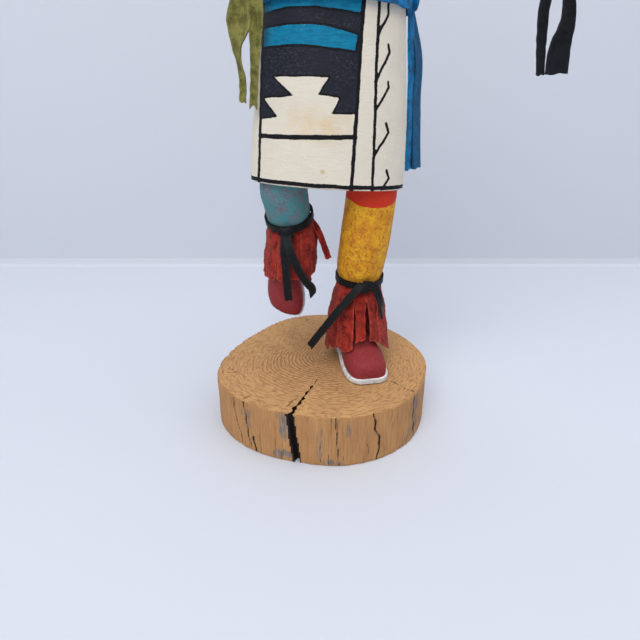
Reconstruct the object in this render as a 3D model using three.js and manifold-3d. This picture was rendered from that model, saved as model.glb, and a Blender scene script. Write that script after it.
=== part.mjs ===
// A carved and painted kachina doll dancing on one leg, on a slice of tree trunk.
// Millimetres, +Z up. The origin is the middle of the base's underside.
// The figure faces -Y, so its own left side is at +X. It stands on its left leg and lifts its right.
import * as THREE from "three";
import { mergeVertices } from "three/addons/utils/BufferGeometryUtils.js";
import Module from "manifold-3d";

const wasm = await Module();
wasm.setup();

// ---------- driving dimensions ----------
const BASE = { width: 108, depth: 102.4, thick: 27.5, flare: 0.014 };
const GAP = 0.3; // air between two pieces that touch
const HEM = 90.5; // the kilt's hem above the base's top
const KILT = { tall: 78, hemWide: 33.8, hemDeep: 21.6 };
const BELT = { from: 64.2, to: 78.5, thick: 1.6 }; // heights above the hem
const LEAN = THREE.MathUtils.degToRad(2.3); // the trunk leans over the standing leg
const TRUNK_X = 1.2; // the kilt's middle at the hem
const FOOT = { long: 43.6, sole: 2.6, rim: 0.9 };
const HEAD = { from: 148, tall: 51, radius: 21 }; // its foot is measured above the hem
const SUEDE = 0.9; // thickness of the soft leather
const LACE = { wide: 3.7, band: 3.1, thick: 1 }; // band is its width where it is pulled tight

const rad = THREE.MathUtils.degToRad;
const vec = (x, y, z) => new THREE.Vector3(x, y, z);
// A place given by its height above the base's top.
const onBase = (x, y, height) => vec(x, y, BASE.thick + height);

// ---------- making and naming solids ----------
function solid(geometry) {
  for (const name of ["normal", "uv"]) geometry.deleteAttribute(name);
  const merged = mergeVertices(geometry, 1e-3);
  return new wasm.Manifold(
    new wasm.Mesh({
      numProp: 3,
      vertProperties: merged.getAttribute("position").array,
      triVerts: new Uint32Array(merged.index.array),
    }),
  );
}

const union = (solids) => solids.reduce((sum, one) => sum.add(one));

const doll = new THREE.Group();

function piece(name, made, material) {
  const mesh = made.getMesh();
  const geometry = new THREE.BufferGeometry();
  geometry.setAttribute("position", new THREE.BufferAttribute(mesh.vertProperties, 3));
  geometry.setIndex(new THREE.BufferAttribute(mesh.triVerts, 1));
  geometry.computeVertexNormals();
  const part = new THREE.Mesh(geometry, material);
  part.name = name;
  doll.add(part);
}

const paint = (color, roughness) => new THREE.MeshStandardMaterial({ color, roughness, metalness: 0 });
const BARE_WOOD = paint(0xc69a68, 0.85);
const KILT_PAINT = paint(0xe9e3d4, 0.6);
const YELLOW_PAINT = paint(0xd9a522, 0.6);
const TURQUOISE_PAINT = paint(0x5f9c9c, 0.6);
const RED_SUEDE = paint(0xa8342b, 0.95);
const BLACK_LEATHER = paint(0x1d1f22, 0.75);
const BLUE_SUEDE = paint(0x0b72b5, 0.95);
const GREEN_SUEDE = paint(0x7d7a36, 0.95);
const FEATHER_PAINT = paint(0xe4dfd2, 0.7);

// ---------- forms ----------
// A closed form made from a cylinder: place(along, angle, out) says where each of its points goes.
// along runs from 0 to 1, and out is 0 at the middle of an end and 1 on the wall.
function shaped(sides, steps, place) {
  const form = new THREE.CylinderGeometry(1, 1, 1, sides, steps);
  const at = form.getAttribute("position");
  for (let i = 0; i < at.count; i++) {
    const [x, z] = [at.getX(i), at.getZ(i)];
    const point = place(at.getY(i) + 0.5, Math.atan2(-z, x), Math.hypot(x, z));
    at.setXYZ(i, point.x, point.y, point.z);
  }
  return solid(form);
}

// Rows of numbers, blended smoothly: the result gives every column at a share of the way.
function blend(rows) {
  const column = (k) => new THREE.SplineCurve(rows.map((row, i) => new THREE.Vector2(i, row[k])));
  const columns = rows[0].map((_, k) => column(k));
  return (along) => columns.map((curve) => curve.getPoint(along).y);
}

// A point set off from another one along two directions.
const offset = (point, side, a, fore, b) => point.addScaledVector(side, a).addScaledVector(fore, b);

// An arm or leg: round sections square to its middle line. A stop is [middle, radius].
function limb(stops, sides, steps) {
  const middle = new THREE.CatmullRomCurve3(stops.map(([at]) => at));
  const radius = blend(stops.map(([, r]) => [r]));
  return shaped(sides, steps, (along, angle, out) => {
    const ahead = middle.getTangent(along);
    const side = vec(0, 1, 0).cross(ahead).normalize();
    const reach = radius(along)[0] * out;
    const fore = ahead.clone().cross(side);
    return offset(middle.getPoint(along), side, reach * Math.cos(angle), fore, reach * Math.sin(angle));
  });
}

// A trunk: level oval sections. A row is [height, half width, half depth].
function trunk(rows, sides, steps, grow = 0) {
  const at = blend(rows);
  return shaped(sides, steps, (along, angle, out) => {
    const [height, wide, deep] = at(along);
    const [x, y] = [(wide + grow) * out * Math.cos(angle), (deep + grow) * out * Math.sin(angle)];
    return vec(x, y, height);
  });
}

// A flat strip of leather along a curve. A stop is [middle, width, the way its face looks].
function strip(stops, thick, steps) {
  const middle = new THREE.CatmullRomCurve3(stops.map(([at]) => at));
  const form = blend(stops.map(([, wide, face]) => [wide, ...face.toArray()]));
  return shaped(4, steps, (along, angle, out) => {
    const [wide, ...face] = form(along);
    const ahead = middle.getTangent(along);
    const side = ahead.clone().cross(vec(...face)).normalize();
    const corner = angle + Math.PI / 4;
    const half = [wide, thick].map((size) => Math.SQRT1_2 * size * out);
    const fore = ahead.clone().cross(side);
    const [a, b] = [half[0] * Math.cos(corner), half[1] * Math.sin(corner)];
    return offset(middle.getPoint(along), side, a, fore, b);
  });
}

// A flat band bent into a ring, standing on the XY plane round the Z axis.
function ring(inner, thick, tall, sides) {
  const outer = inner + thick;
  const corners = [[inner, 0], [outer, 0], [outer, tall], [inner, tall], [inner, 0]];
  const profile = corners.map(([radius, height]) => new THREE.Vector2(radius, height - tall / 2));
  return solid(new THREE.LatheGeometry(profile, sides).rotateX(Math.PI / 2));
}

// The trunk's own heights run from the hem; this leans it and sets it over the base.
const leaning = new THREE.Matrix4()
  .makeTranslation(TRUNK_X, 0, BASE.thick + HEM)
  .multiply(new THREE.Matrix4().makeRotationY(LEAN));
const lean = (made) => made.transform(leaning.elements);
const onTrunk = (x, y, height) => vec(x, y, height).applyMatrix4(leaning);

// ---------- the base: a slice of trunk with a drying crack ----------
// A wave is [lobes round the rim, its share of the radius, where it starts].
const RIM_WAVES = [[1, 0.027, 2.9], [2, 0.013, -0.8], [3, 0.037, 3.2], [4, 0.02, 0.3], [9, 0.004, 1.9]];

function baseSlice() {
  const SIDES = 72;
  const outline = Array.from({ length: SIDES }, (_, i) => {
    const angle = (2 * Math.PI * i) / SIDES;
    const wave = (sum, [lobes, share, start]) => sum + share * Math.sin(lobes * angle + start);
    const reach = RIM_WAVES.reduce(wave, 1) / 2;
    return new THREE.Vector2(BASE.width * reach * Math.cos(angle), BASE.depth * reach * Math.sin(angle));
  });
  const flat = { depth: BASE.thick, bevelEnabled: false };
  const slice = new THREE.ExtrudeGeometry(new THREE.Shape(outline), flat);
  const at = slice.getAttribute("position");
  for (let i = 0; i < at.count; i++) {
    const spread = 1 + BASE.flare * (1 - at.getZ(i) / BASE.thick);
    at.setXY(i, at.getX(i) * spread, at.getY(i) * spread);
  }
  return solid(slice).subtract(crack());
}

// The crack opens from near the pith to the front rim, and drifts sideways as it goes down.
const CRACK = { tip: [-3.5, -21.5], left: [-23.5, -58], right: [-18, -58], drift: 3 };

function crack() {
  const over = 2;
  const wedge = new THREE.Shape([CRACK.tip, CRACK.left, CRACK.right].map((at) => new THREE.Vector2(...at)));
  const cut = new THREE.ExtrudeGeometry(wedge, { depth: BASE.thick + 2 * over, bevelEnabled: false });
  const at = cut.getAttribute("position");
  for (let i = 0; i < at.count; i++) {
    const down = 1 - (at.getZ(i) - over) / BASE.thick;
    at.setXYZ(i, at.getX(i) + CRACK.drift * down, at.getY(i), at.getZ(i) - over);
  }
  return solid(cut);
}

// ---------- the carved figure ----------
const kiltRows = [
  [-3, KILT.hemWide, KILT.hemDeep],
  [14, KILT.hemWide - 0.7, KILT.hemDeep],
  [32, 31.4, 21.8],
  [50, 29.2, 21.6],
  [64, 27.2, 21.4],
  [KILT.tall, 25.8, 21],
];

const chestRows = [
  [KILT.tall - 8, 23.5, 17.5],
  [KILT.tall + 6, 24, 17],
  [100, 26.5, 17.8],
  [118, 28.5, 18],
  [130, 26.5, 16.5],
  [137, 19, 13.5],
  [142, 11.5, 11],
  [HEAD.from + 4, 10.5, 10.5],
];

// The hem isn't quite level: it dips at the standing leg and at the back.
function kilt(grow) {
  const below = new THREE.BoxGeometry(120, 120, 20).translate(0, 0, -10 - grow);
  below.rotateX(rad(-2.6)).rotateY(rad(0.9));
  return lean(trunk(kiltRows, 32, 5, grow).subtract(solid(below)));
}

const chest = (grow) => lean(trunk(chestRows, 22, 8, grow));

// The case mask: a round-topped cylinder, with a short snout and two flat ears carved from it.
const MASK_PROFILE = [[0, 0], [19.5, 0], [21, 2.5], [21.4, 22], [20.6, 36], [17.6, 45], [11, 50], [0, 51]];
const SNOUT = { radius: 4.6, long: 11, height: 15 };
const EAR = { radius: 8, thick: 3.2, height: 27 };
const CREST = { wide: 9, thick: 3, deep: 6, back: 4 };

function mask() {
  const profile = MASK_PROFILE.map(([radius, height]) => new THREE.Vector2(radius, height));
  const shell = new THREE.LatheGeometry(profile, 24).rotateX(Math.PI / 2).translate(0, 0, HEAD.from);
  const snout = new THREE.CylinderGeometry(SNOUT.radius, SNOUT.radius + 0.8, SNOUT.long, 12);
  snout.rotateX(Math.PI).translate(0, -HEAD.radius - SNOUT.long / 2 + 3, HEAD.from + SNOUT.height);
  const ears = [-1, 1].map((side) => {
    const ear = new THREE.CylinderGeometry(EAR.radius, EAR.radius, EAR.thick, 16).rotateZ(Math.PI / 2);
    return solid(ear.translate(side * (HEAD.radius + 1), 0, HEAD.from + EAR.height));
  });
  return lean(union([solid(shell), solid(snout), ...ears]).subtract(crestTang(GAP)));
}

// The left leg carries the figure; the right leg hangs from its lifted knee.
// Each ends in a shoulder behind its tie, and goes on slimmer under its anklet.
const standingLeg = [
  [onBase(21.2, -2, HEM + 12), 11.4],
  [onBase(21.1, -2, HEM - 3), 11.3],
  [onBase(19.4, -0.5, 67), 11.7],
  [onBase(17.9, 2.1, 52), 11.5],
  [onBase(17.7, 2.7, 45.8), 10.5],
];
const liftedLeg = [
  [onBase(-17, -2.5, HEM + 12), 10],
  [onBase(-19.3, -3.6, HEM - 1), 11.3],
  [onBase(-18, -2.6, 85.6), 10.8],
  [onBase(-17, -1.3, 81.2), 10.2],
  [onBase(-16.4, 0.3, 77), 9.5],
];
const standingAnkle = [
  [onBase(17.7, 2.6, 47), 8.6],
  [onBase(17.4, 3.2, 34), 8.8],
  [onBase(16.8, 4.4, 12), 8.8],
];
const liftedAnkle = [
  [onBase(-16.4, -0.4, 78), 7.6],
  [onBase(-16.6, 2.6, 70), 7.6],
  [onBase(-17.4, 5, 56), 8],
];

// A foot in its own frame: heel at the origin, toe along -Y, sole on z = 0.
// A row is [distance from the heel, middle, half width, height].
const footRows = [
  [0, 0, 4.6, 12],
  [1.6, 0, 7, 13],
  [7, 0, 7.2, 17],
  [15, 0.2, 7.5, 19.6],
  [24, 0.9, 9, 17.2],
  [32, 1.6, 10, 13.5],
  [38, 1.8, 9.4, 11.4],
  [42, 1.9, 7.5, 9.4],
  [FOOT.long, 1.9, 4.2, 7],
];

function upper() {
  const at = blend(footRows);
  return shaped(16, 9, (along, angle, out) => {
    const [away, middle, wide, tall] = at(along);
    const waist = 0.36 * tall;
    const [c, s] = [Math.cos(angle), Math.sin(angle)];
    const rise = s > 0 ? (tall - waist) * s : -waist * Math.pow(-s, 0.45);
    return vec(middle + wide * out * Math.sign(c) * Math.abs(c) ** 0.85, -away, waist + rise * out);
  });
}

function sole() {
  const edge = (side) =>
    footRows.map(([away, middle, wide]) => {
      const end = (away / FOOT.long) * 2 - 1;
      const reach = wide + FOOT.rim * (1 - end ** 8 / 2);
      return new THREE.Vector2(middle + side * reach, -away - FOOT.rim * end);
    });
  const outline = new THREE.Shape().moveTo(...edge(-1)[0]);
  outline.splineThru(edge(-1).slice(1));
  outline.lineTo(...edge(1).at(-1));
  outline.splineThru(edge(1).reverse().slice(1));
  const flat = { depth: FOOT.sole, bevelEnabled: false, curveSegments: 2 };
  return solid(new THREE.ExtrudeGeometry(outline, flat));
}

const foot = (place) => upper().translate([0, 0, 0.6]).add(sole()).transform(place.elements);

function turned(x, z, at) {
  return new THREE.Matrix4().makeRotationFromEuler(new THREE.Euler(x, 0, z)).setPosition(at);
}
const standingFoot = turned(0, rad(9.5), onBase(13.6, 17.2, GAP));
const liftedFoot = turned(rad(76), rad(-4), onBase(-18.8, 11.6, 62.4)).scale(vec(0.9, 0.84, 0.96));

const legs = () =>
  union([
    limb(standingLeg, 20, 6),
    limb(liftedLeg, 20, 5),
    limb(standingAnkle, 12, 2),
    limb(liftedAnkle, 12, 2),
    foot(standingFoot),
    foot(liftedFoot),
  ]);

// ---------- the arms, carved apart and glued at the shoulders ----------
const rightArm = [
  [onTrunk(-22, 0, 126), 7.6],
  [onTrunk(-33, 1, 121), 8.4],
  [onTrunk(-42, 3.5, 110), 7.4],
  [onTrunk(-45, 3, 98), 6.6],
  [onTrunk(-41, -5, 89), 5.9],
  [onTrunk(-36, -10.5, 81), 5.2],
];
const leftArm = [
  [onTrunk(22, 0, 126), 7.6],
  [onTrunk(34, 0, 121), 8.4],
  [onTrunk(46, 1, 112), 7.4],
  [onTrunk(56, 1, 104.5), 6.7],
  [onTrunk(66, -3, 98.5), 6],
  [onTrunk(76, -7, 92.5), 5.2],
];
const FIST = { wide: 6.6, deep: 6.2, tall: 7.2 };
const rightFist = onTrunk(-34, -12, 78);
const leftFist = onTrunk(79.5, -8.5, 89.5);
const GRIP = 2; // radius of the bundle of leather where it goes through a fist

function fist(at) {
  const ball = new THREE.SphereGeometry(1, 12, 8).scale(FIST.wide, FIST.deep, FIST.tall);
  return solid(ball.translate(at.x, at.y, at.z));
}

// The rod that a bundle fills, or the hole it goes through.
function rod(at, radius, tall) {
  const round = new THREE.CylinderGeometry(radius, radius, tall, 12).rotateX(Math.PI / 2);
  return solid(round.translate(at.x, at.y, at.z));
}

function arm(stops, hand) {
  const made = limb(stops, 14, 8).add(fist(hand));
  return made.subtract(chest(GAP)).subtract(rod(hand, GRIP + GAP, 4 * FIST.tall));
}

// ---------- the anklets of red suede, and the black laces that tie them ----------
// A tie's ring is square to its axis. radius is the leg's under the anklet.
const standingTie = { at: onBase(17.7, 2.7, 45.6), axis: vec(0.03, -0.1, 1), radius: 8.9 };
const liftedTie = { at: onBase(-16.3, 0.4, 76.2), axis: vec(-0.12, -0.42, 1), radius: 8.3 };

function tieFrame({ at, axis }) {
  const turn = new THREE.Quaternion().setFromUnitVectors(vec(0, 0, 1), axis.clone().normalize());
  return new THREE.Matrix4().makeRotationFromQuaternion(turn).setPosition(at);
}

// A place on a tie: angle round it, distance from its axis, height over its middle.
const onTie = (tie, angle, out, height) =>
  vec(out * Math.cos(angle), out * Math.sin(angle), height).applyMatrix4(tieFrame(tie));

// A flat strip's edges stand a little off the round leg.
const laceRadius = (tie) => tie.radius + SUEDE + 4 * GAP;

function lace(tie, knot, tails) {
  const place = onTie(tie, rad(knot), laceRadius(tie) + LACE.thick + 0.9, 0);
  const ball = new THREE.SphereGeometry(1, 10, 6).scale(3.4, 1.9, 2.5).translate(place.x, place.y, place.z);
  const band = ring(laceRadius(tie), LACE.thick, LACE.band, 22).transform(tieFrame(tie).elements);
  return union([band, solid(ball), ...tails.map((stops) => strip(stops, LACE.thick, 6))]);
}

const standingTails = [
  [
    [onBase(17.8, -10.9, 46.4), 3, vec(-0.3, -0.9, 0.3)],
    [onBase(14.4, -12.4, 43), LACE.wide, vec(-0.35, -0.85, 0.4)],
    [onBase(5.4, -12.8, 31.4), LACE.wide, vec(-0.35, -0.85, 0.4)],
    [onBase(-2.5, -11.4, 19.6), LACE.wide, vec(-0.3, -0.85, 0.45)],
    [onBase(-7.1, -9.5, 12), LACE.wide, vec(-0.3, -0.8, 0.6)],
  ],
  [
    [onBase(18.4, -10.9, 46.6), 3, vec(0.1, -1, 0.2)],
    [onBase(23.4, -10.4, 45), LACE.wide, vec(0.3, -0.95, 0.1)],
    [onBase(26.8, -10.2, 38), LACE.wide, vec(0.8, -0.6, 0)],
    [onBase(28.6, -9.6, 30), LACE.wide, vec(1, -0.15, 0)],
  ],
];
const liftedTails = [
  [
    [onBase(-17.4, -12, 70.8), 3, vec(0, -1, 0.4)],
    [onBase(-17.8, -15.2, 65), LACE.wide, vec(0, -1, 0)],
    [onBase(-17.2, -16.4, 52), LACE.wide, vec(0.1, -1, 0)],
    [onBase(-16.7, -16, 40.4), LACE.wide, vec(0.1, -1, 0)],
  ],
  [
    [onBase(-16.8, -12, 70.8), 3, vec(0, -1, 0.4)],
    [onBase(-15.4, -15.8, 65.4), LACE.wide, vec(0, -1, 0)],
    [onBase(-13.2, -16.8, 59), LACE.wide, vec(-0.1, -1, 0)],
    [onBase(-8.4, -15.8, 50), LACE.wide, vec(-0.4, -0.9, 0)],
    [onBase(-5, -14.6, 45), LACE.wide, vec(-0.6, -0.8, 0.2)],
    [onBase(-5.6, -12.4, 40.6), LACE.wide - 1.2, vec(-0.9, -0.4, 0.3)],
  ],
];

// An anklet: strips cut from one band, which hangs from under the lace and spreads over the foot.
// An end is [angle round the leg, where it ends, how far it bows out, way it faces, widths].
const FRINGE = { strips: 13, wide: [4.2, 4.6, 5.2, 4.8] };
const fringeAngles = (first) =>
  Array.from({ length: FRINGE.strips }, (_, i) => rad(first) + (2 * Math.PI * i) / FRINGE.strips);

function anklet(tie, ends) {
  const under = tie.radius + GAP + SUEDE / 2;
  const hung = ends.map(([angle, end, bow, look, wide]) => {
    const [out, face] = [angle, look].map((turn) => vec(Math.cos(turn), Math.sin(turn), 0));
    const freed = onTie(tie, angle, under + 0.8, -2.7);
    const spread = freed.clone().lerp(end, 0.4).addScaledVector(out, bow);
    const stops = [onTie(tie, angle, under, -0.6), freed, spread, end];
    return strip(stops.map((at, i) => [at, wide[i], i < 2 ? out : face]), SUEDE, 3);
  });
  const band = ring(tie.radius + GAP, SUEDE, 2, 20).translate([0, 0, -1.3]);
  return union([band.transform(tieFrame(tie).elements), ...hung]);
}

// Over the instep the strips are short; elsewhere they nearly reach the sole.
const INSTEP = { at: 280, wide: 42, higher: 11 };
const standingEnds = fringeAngles(297).map((angle, i) => {
  const off = THREE.MathUtils.euclideanModulo(THREE.MathUtils.radToDeg(angle) - INSTEP.at + 180, 360) - 180;
  const height = 7.6 + INSTEP.higher * Math.exp(-((off / INSTEP.wide) ** 2)) + 0.8 * Math.sin(2.4 * i);
  const end = onBase(17.9 + 16.3 * Math.cos(angle), 3.2 + 19.6 * Math.sin(angle), height);
  return [angle, end, 1 - 0.5 * Math.cos(angle), angle, FRINGE.wide];
});

// One strip of the lifted anklet stands away from the rest. At the back they pass over the heel.
const STRAY = { angle: 8, end: onBase(2.3, 2, 54.8), bow: 0.7, look: rad(-62), wide: [3.8, 3.4, 3, 2.9] };
const liftedEnds = fringeAngles(STRAY.angle).map((angle, i) => {
  if (i === 0) return [angle, STRAY.end, STRAY.bow, STRAY.look, STRAY.wide];
  const [c, s] = [Math.cos(angle), Math.sin(angle)];
  const back = Math.max(0, s);
  const end = onBase(-16.9 + (12.3 + 3.6 * back) * c, 2.2 + 16.2 * s, 48.8 + 1.6 * Math.sin(2.4 * i));
  return [angle, end, 0.6 + 0.6 * c + 3 * back, angle, FRINGE.wide];
});

// ---------- the blue sash, with two tails at the left hip ----------
function sash() {
  const rows = [[BELT.from, 27.3, 21.6], [BELT.to, 26.1, 21.2]];
  const inner = rows.map(([height, wide, deep], i) => [height + 2 * i - 1, wide, deep]);
  const hole = trunk(inner, 32, 1, GAP);
  const wrap = trunk(rows, 32, 1, GAP + BELT.thick).subtract(hole);
  const knot = new THREE.SphereGeometry(1, 10, 6).scale(3, 5.5, 5.4).translate(...onTrunk(28.8, 3.5, 70));
  const tails = [
    [
      [onBase(32.4, 2.6, 158), 6, vec(0.9, -0.35, 0)],
      [onBase(33.4, 2.4, 151), 7, vec(0.9, -0.4, 0)],
      [onBase(35.6, 2.8, 127), 7.5, vec(0.9, -0.42, 0)],
      [onBase(37.2, 3, 96), 7.5, vec(0.9, -0.42, 0)],
    ],
    [
      [onBase(32.6, 6, 159), 6, vec(0.9, -0.2, 0)],
      [onBase(35.4, 8, 151), 8, vec(0.86, -0.4, 0)],
      [onBase(38.8, 8.6, 139), 8, vec(0.86, -0.5, 0)],
      [onBase(39.6, 8.6, 122), 8.4, vec(0.84, -0.54, 0)],
      [onBase(42.2, 8.4, 96), 8.4, vec(0.84, -0.54, 0)],
    ],
  ];
  const hung = tails.map((stops) => strip(stops, SUEDE, 6));
  return union([solid(knot), ...hung]).subtract(kilt(GAP)).add(lean(wrap));
}

// ---------- the suede that each fist holds ----------
const front = vec(0, -1, 0);

function held(hand, strips) {
  const bundle = rod(hand, GRIP, 2 * FIST.tall + 5);
  return union([bundle, ...strips.map((stops) => strip(stops, SUEDE, 2 * stops.length - 3))]);
}

const below = (hand, x) => [vec(hand.x + x, hand.y, hand.z - FIST.tall - 1.6), 3, front];
const above = (hand, x, y, rise) => [
  [vec(hand.x, hand.y, hand.z + FIST.tall + 1), 3, front],
  [vec(hand.x + x / 3, hand.y + y / 3, hand.z + FIST.tall + rise / 2), 4, front],
  [vec(hand.x + x, hand.y + y, hand.z + FIST.tall + rise), 2.4, front],
];

const greenStrips = [
  [
    below(rightFist, -0.4),
    [onBase(-31, -12, 156), 5.6, front],
    [onBase(-31.5, -11.6, 149), 9.6, vec(-0.3, -1, 0)],
    [onBase(-32.8, -12, 142), 4.6, vec(-0.5, -0.9, 0)],
    [onBase(-32.2, -12, 136), 2.6, vec(-0.8, -0.6, 0)],
    [onBase(-31.5, -12, 130.5), 2.6, vec(-0.3, -1, 0)],
    [onBase(-32.1, -12, 123), 2.6, vec(-0.3, -1, 0)],
  ],
  [
    below(rightFist, 0.6),
    [onBase(-25.3, -12.6, 154.5), 4.6, front],
    [onBase(-26.6, -12.6, 136), 3, front],
    [onBase(-28, -12.6, 121.2), 3, front],
  ],
  above(rightFist, -5, -3, 12),
  above(rightFist, 4, -5, 14),
];
const blackStrips = [
  [
    below(leftFist, -0.8),
    [onBase(80, -8.5, 156), 3.8, front],
    [onBase(80.9, -8.5, 146), 3.6, front],
    [onBase(83.2, -8.5, 132.4), 2.8, front],
  ],
  [
    below(leftFist, 0.8),
    [onBase(89.6, -8, 152), 5, front],
    [onBase(88.9, -8, 141.5), 8, front],
    [onBase(89.6, -8, 132.8), 8.6, front],
  ],
  above(leftFist, 4, -4, 11),
  above(leftFist, -4, 2, 13),
];

// ---------- the ruff and the crest ----------
function ruff() {
  const LOBES = 16;
  const rows = [[12.6, 142.6], [19, 141.6], [21.5, 143.4], [19.5, 146], [12.6, 147.4], [12.6, 142.6]];
  const profile = rows.map(([radius, height]) => new THREE.Vector2(radius, height));
  const collar = new THREE.LatheGeometry(profile, 2 * LOBES).rotateX(Math.PI / 2);
  const at = collar.getAttribute("position");
  for (let i = 0; i < at.count; i++) {
    const [x, y] = [at.getX(i), at.getY(i)];
    const lobe = Math.hypot(x, y) > 13 ? 1 + 0.05 * Math.cos(LOBES * Math.atan2(y, x)) : 1;
    at.setXY(i, x * lobe, y * lobe);
  }
  return lean(solid(collar));
}

// The crest's tang, in the slot on top of the mask. Its back stands a little behind the middle.
function crestTang(grow) {
  const [wide, thick, tall] = [CREST.wide, CREST.thick, 2 * CREST.deep].map((size) => size + 2 * grow);
  return solid(new THREE.BoxGeometry(wide, thick, tall).translate(0, CREST.back, HEAD.from + HEAD.tall));
}

function crest() {
  const LONG = 26;
  const feather = new THREE.Shape()
    .moveTo(-1.4, 0)
    .lineTo(1.4, 0)
    .quadraticCurveTo(4.4, LONG * 0.5, 3.4, LONG * 0.8)
    .quadraticCurveTo(2.6, LONG, 0, LONG)
    .quadraticCurveTo(-2.6, LONG, -3.4, LONG * 0.8)
    .quadraticCurveTo(-4.4, LONG * 0.5, -1.4, 0);
  const flat = { depth: 2.2, bevelEnabled: false, curveSegments: 3 };
  const fan = [-28, 0, 28].map((turn) => {
    const blade = new THREE.ExtrudeGeometry(feather, flat).rotateX(Math.PI / 2).rotateY(rad(turn));
    return solid(blade.translate(0, CREST.back + flat.depth / 2, HEAD.from + HEAD.tall + 1.5));
  });
  return lean(union([crestTang(0), ...fan]));
}

// ---------- the pieces ----------
const figure = union([kilt(0), chest(0), mask(), legs()]);
piece("base", baseSlice(), BARE_WOOD);
piece("figure", figure, KILT_PAINT);
piece("right_arm", arm(rightArm, rightFist), TURQUOISE_PAINT);
piece("left_arm", arm(leftArm, leftFist), YELLOW_PAINT);
piece("right_anklet", anklet(liftedTie, liftedEnds), RED_SUEDE);
piece("left_anklet", anklet(standingTie, standingEnds), RED_SUEDE);
piece("right_tie", lace(liftedTie, -94, liftedTails), BLACK_LEATHER);
piece("left_tie", lace(standingTie, -88, standingTails), BLACK_LEATHER);
piece("sash", sash(), BLUE_SUEDE);
piece("green_suede", held(rightFist, greenStrips), GREEN_SUEDE);
piece("black_suede", held(leftFist, blackStrips), BLACK_LEATHER);
piece("neck_ruff", ruff(), GREEN_SUEDE);
piece("crest_feathers", crest(), FEATHER_PAINT);

export default doll;
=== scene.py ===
# %% [markdown]
# # A carved kachina doll, in Blender
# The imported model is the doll's exact shape and size, in millimetre-true solids. This script loads it as
# a frame, lays finer pieces over its plain ones, and gives each the paint, suede or wood that it has in
# the hand. Lengths are written in millimetres and become metres only when a mesh is made.

# %% Load the frame
import math
import bpy
import bmesh
import numpy as np
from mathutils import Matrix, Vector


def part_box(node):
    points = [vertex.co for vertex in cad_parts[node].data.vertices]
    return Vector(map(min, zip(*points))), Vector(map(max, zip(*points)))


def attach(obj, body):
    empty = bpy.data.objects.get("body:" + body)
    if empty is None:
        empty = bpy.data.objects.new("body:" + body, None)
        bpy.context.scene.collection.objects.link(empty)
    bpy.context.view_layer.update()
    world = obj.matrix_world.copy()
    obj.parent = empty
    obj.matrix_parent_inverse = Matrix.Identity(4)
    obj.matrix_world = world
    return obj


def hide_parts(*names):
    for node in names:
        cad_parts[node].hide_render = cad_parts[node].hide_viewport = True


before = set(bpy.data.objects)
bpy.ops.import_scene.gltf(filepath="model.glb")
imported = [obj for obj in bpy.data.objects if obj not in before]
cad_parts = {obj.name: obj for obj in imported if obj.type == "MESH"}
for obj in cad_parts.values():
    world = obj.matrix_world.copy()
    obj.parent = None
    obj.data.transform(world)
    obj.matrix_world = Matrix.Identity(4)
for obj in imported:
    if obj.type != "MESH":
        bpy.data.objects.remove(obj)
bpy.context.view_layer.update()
MM = 0.001
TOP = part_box("base")[1].z / MM
HEM = 90.5
print("the slice's top is", round(TOP, 2), "mm up, and the hem", HEM, "mm over it")

# %% [markdown]
# ## Camera, room and light
# The doll is seen from close by and a little above, so a wide lens near the doll gives the right
# foreshortening. A long lens further off would flatten the base.

# %% The camera
def put(name, data):
    """A new object in the scene."""
    made = bpy.data.objects.new(name, data)
    bpy.context.scene.collection.objects.link(made)
    return made


def add_camera(place, pitch, lens):
    """A camera at place, in millimetres, that looks along +Y and down by pitch degrees."""
    data = bpy.data.cameras.new("camera")
    data.lens, data.sensor_width, data.clip_start = lens, 36, 0.01
    camera = put("camera", data)
    camera.location = [size * MM for size in place]
    camera.rotation_euler = (math.radians(90 - pitch), 0, 0)
    bpy.context.scene.camera = camera
    return camera


camera = add_camera(place=(-1.98, -200.03, TOP + 122.09), pitch=26.558, lens=24.19)
print("camera at", [round(c, 4) for c in camera.location])


# %% [markdown]
# ## Helpers for colours and materials
# A finish is a small tree of nodes. Writing each tree out by hand is long, so one small class adds a
# node, joins its inputs and hands back its output. All patterns are sized in millimetres on the piece
# itself, by Object coordinates, so they stay put when the doll is seen from elsewhere.

# %% Colours
def colour(red, green, blue):
    """The colour a screen shows for these values from 0 to 255, as Blender wants it."""
    channels = [value / 255 for value in (red, green, blue)]
    linear = [c / 12.92 if c <= 0.04045 else ((c + 0.055) / 1.055) ** 2.4 for c in channels]
    return (*linear, 1)


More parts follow.
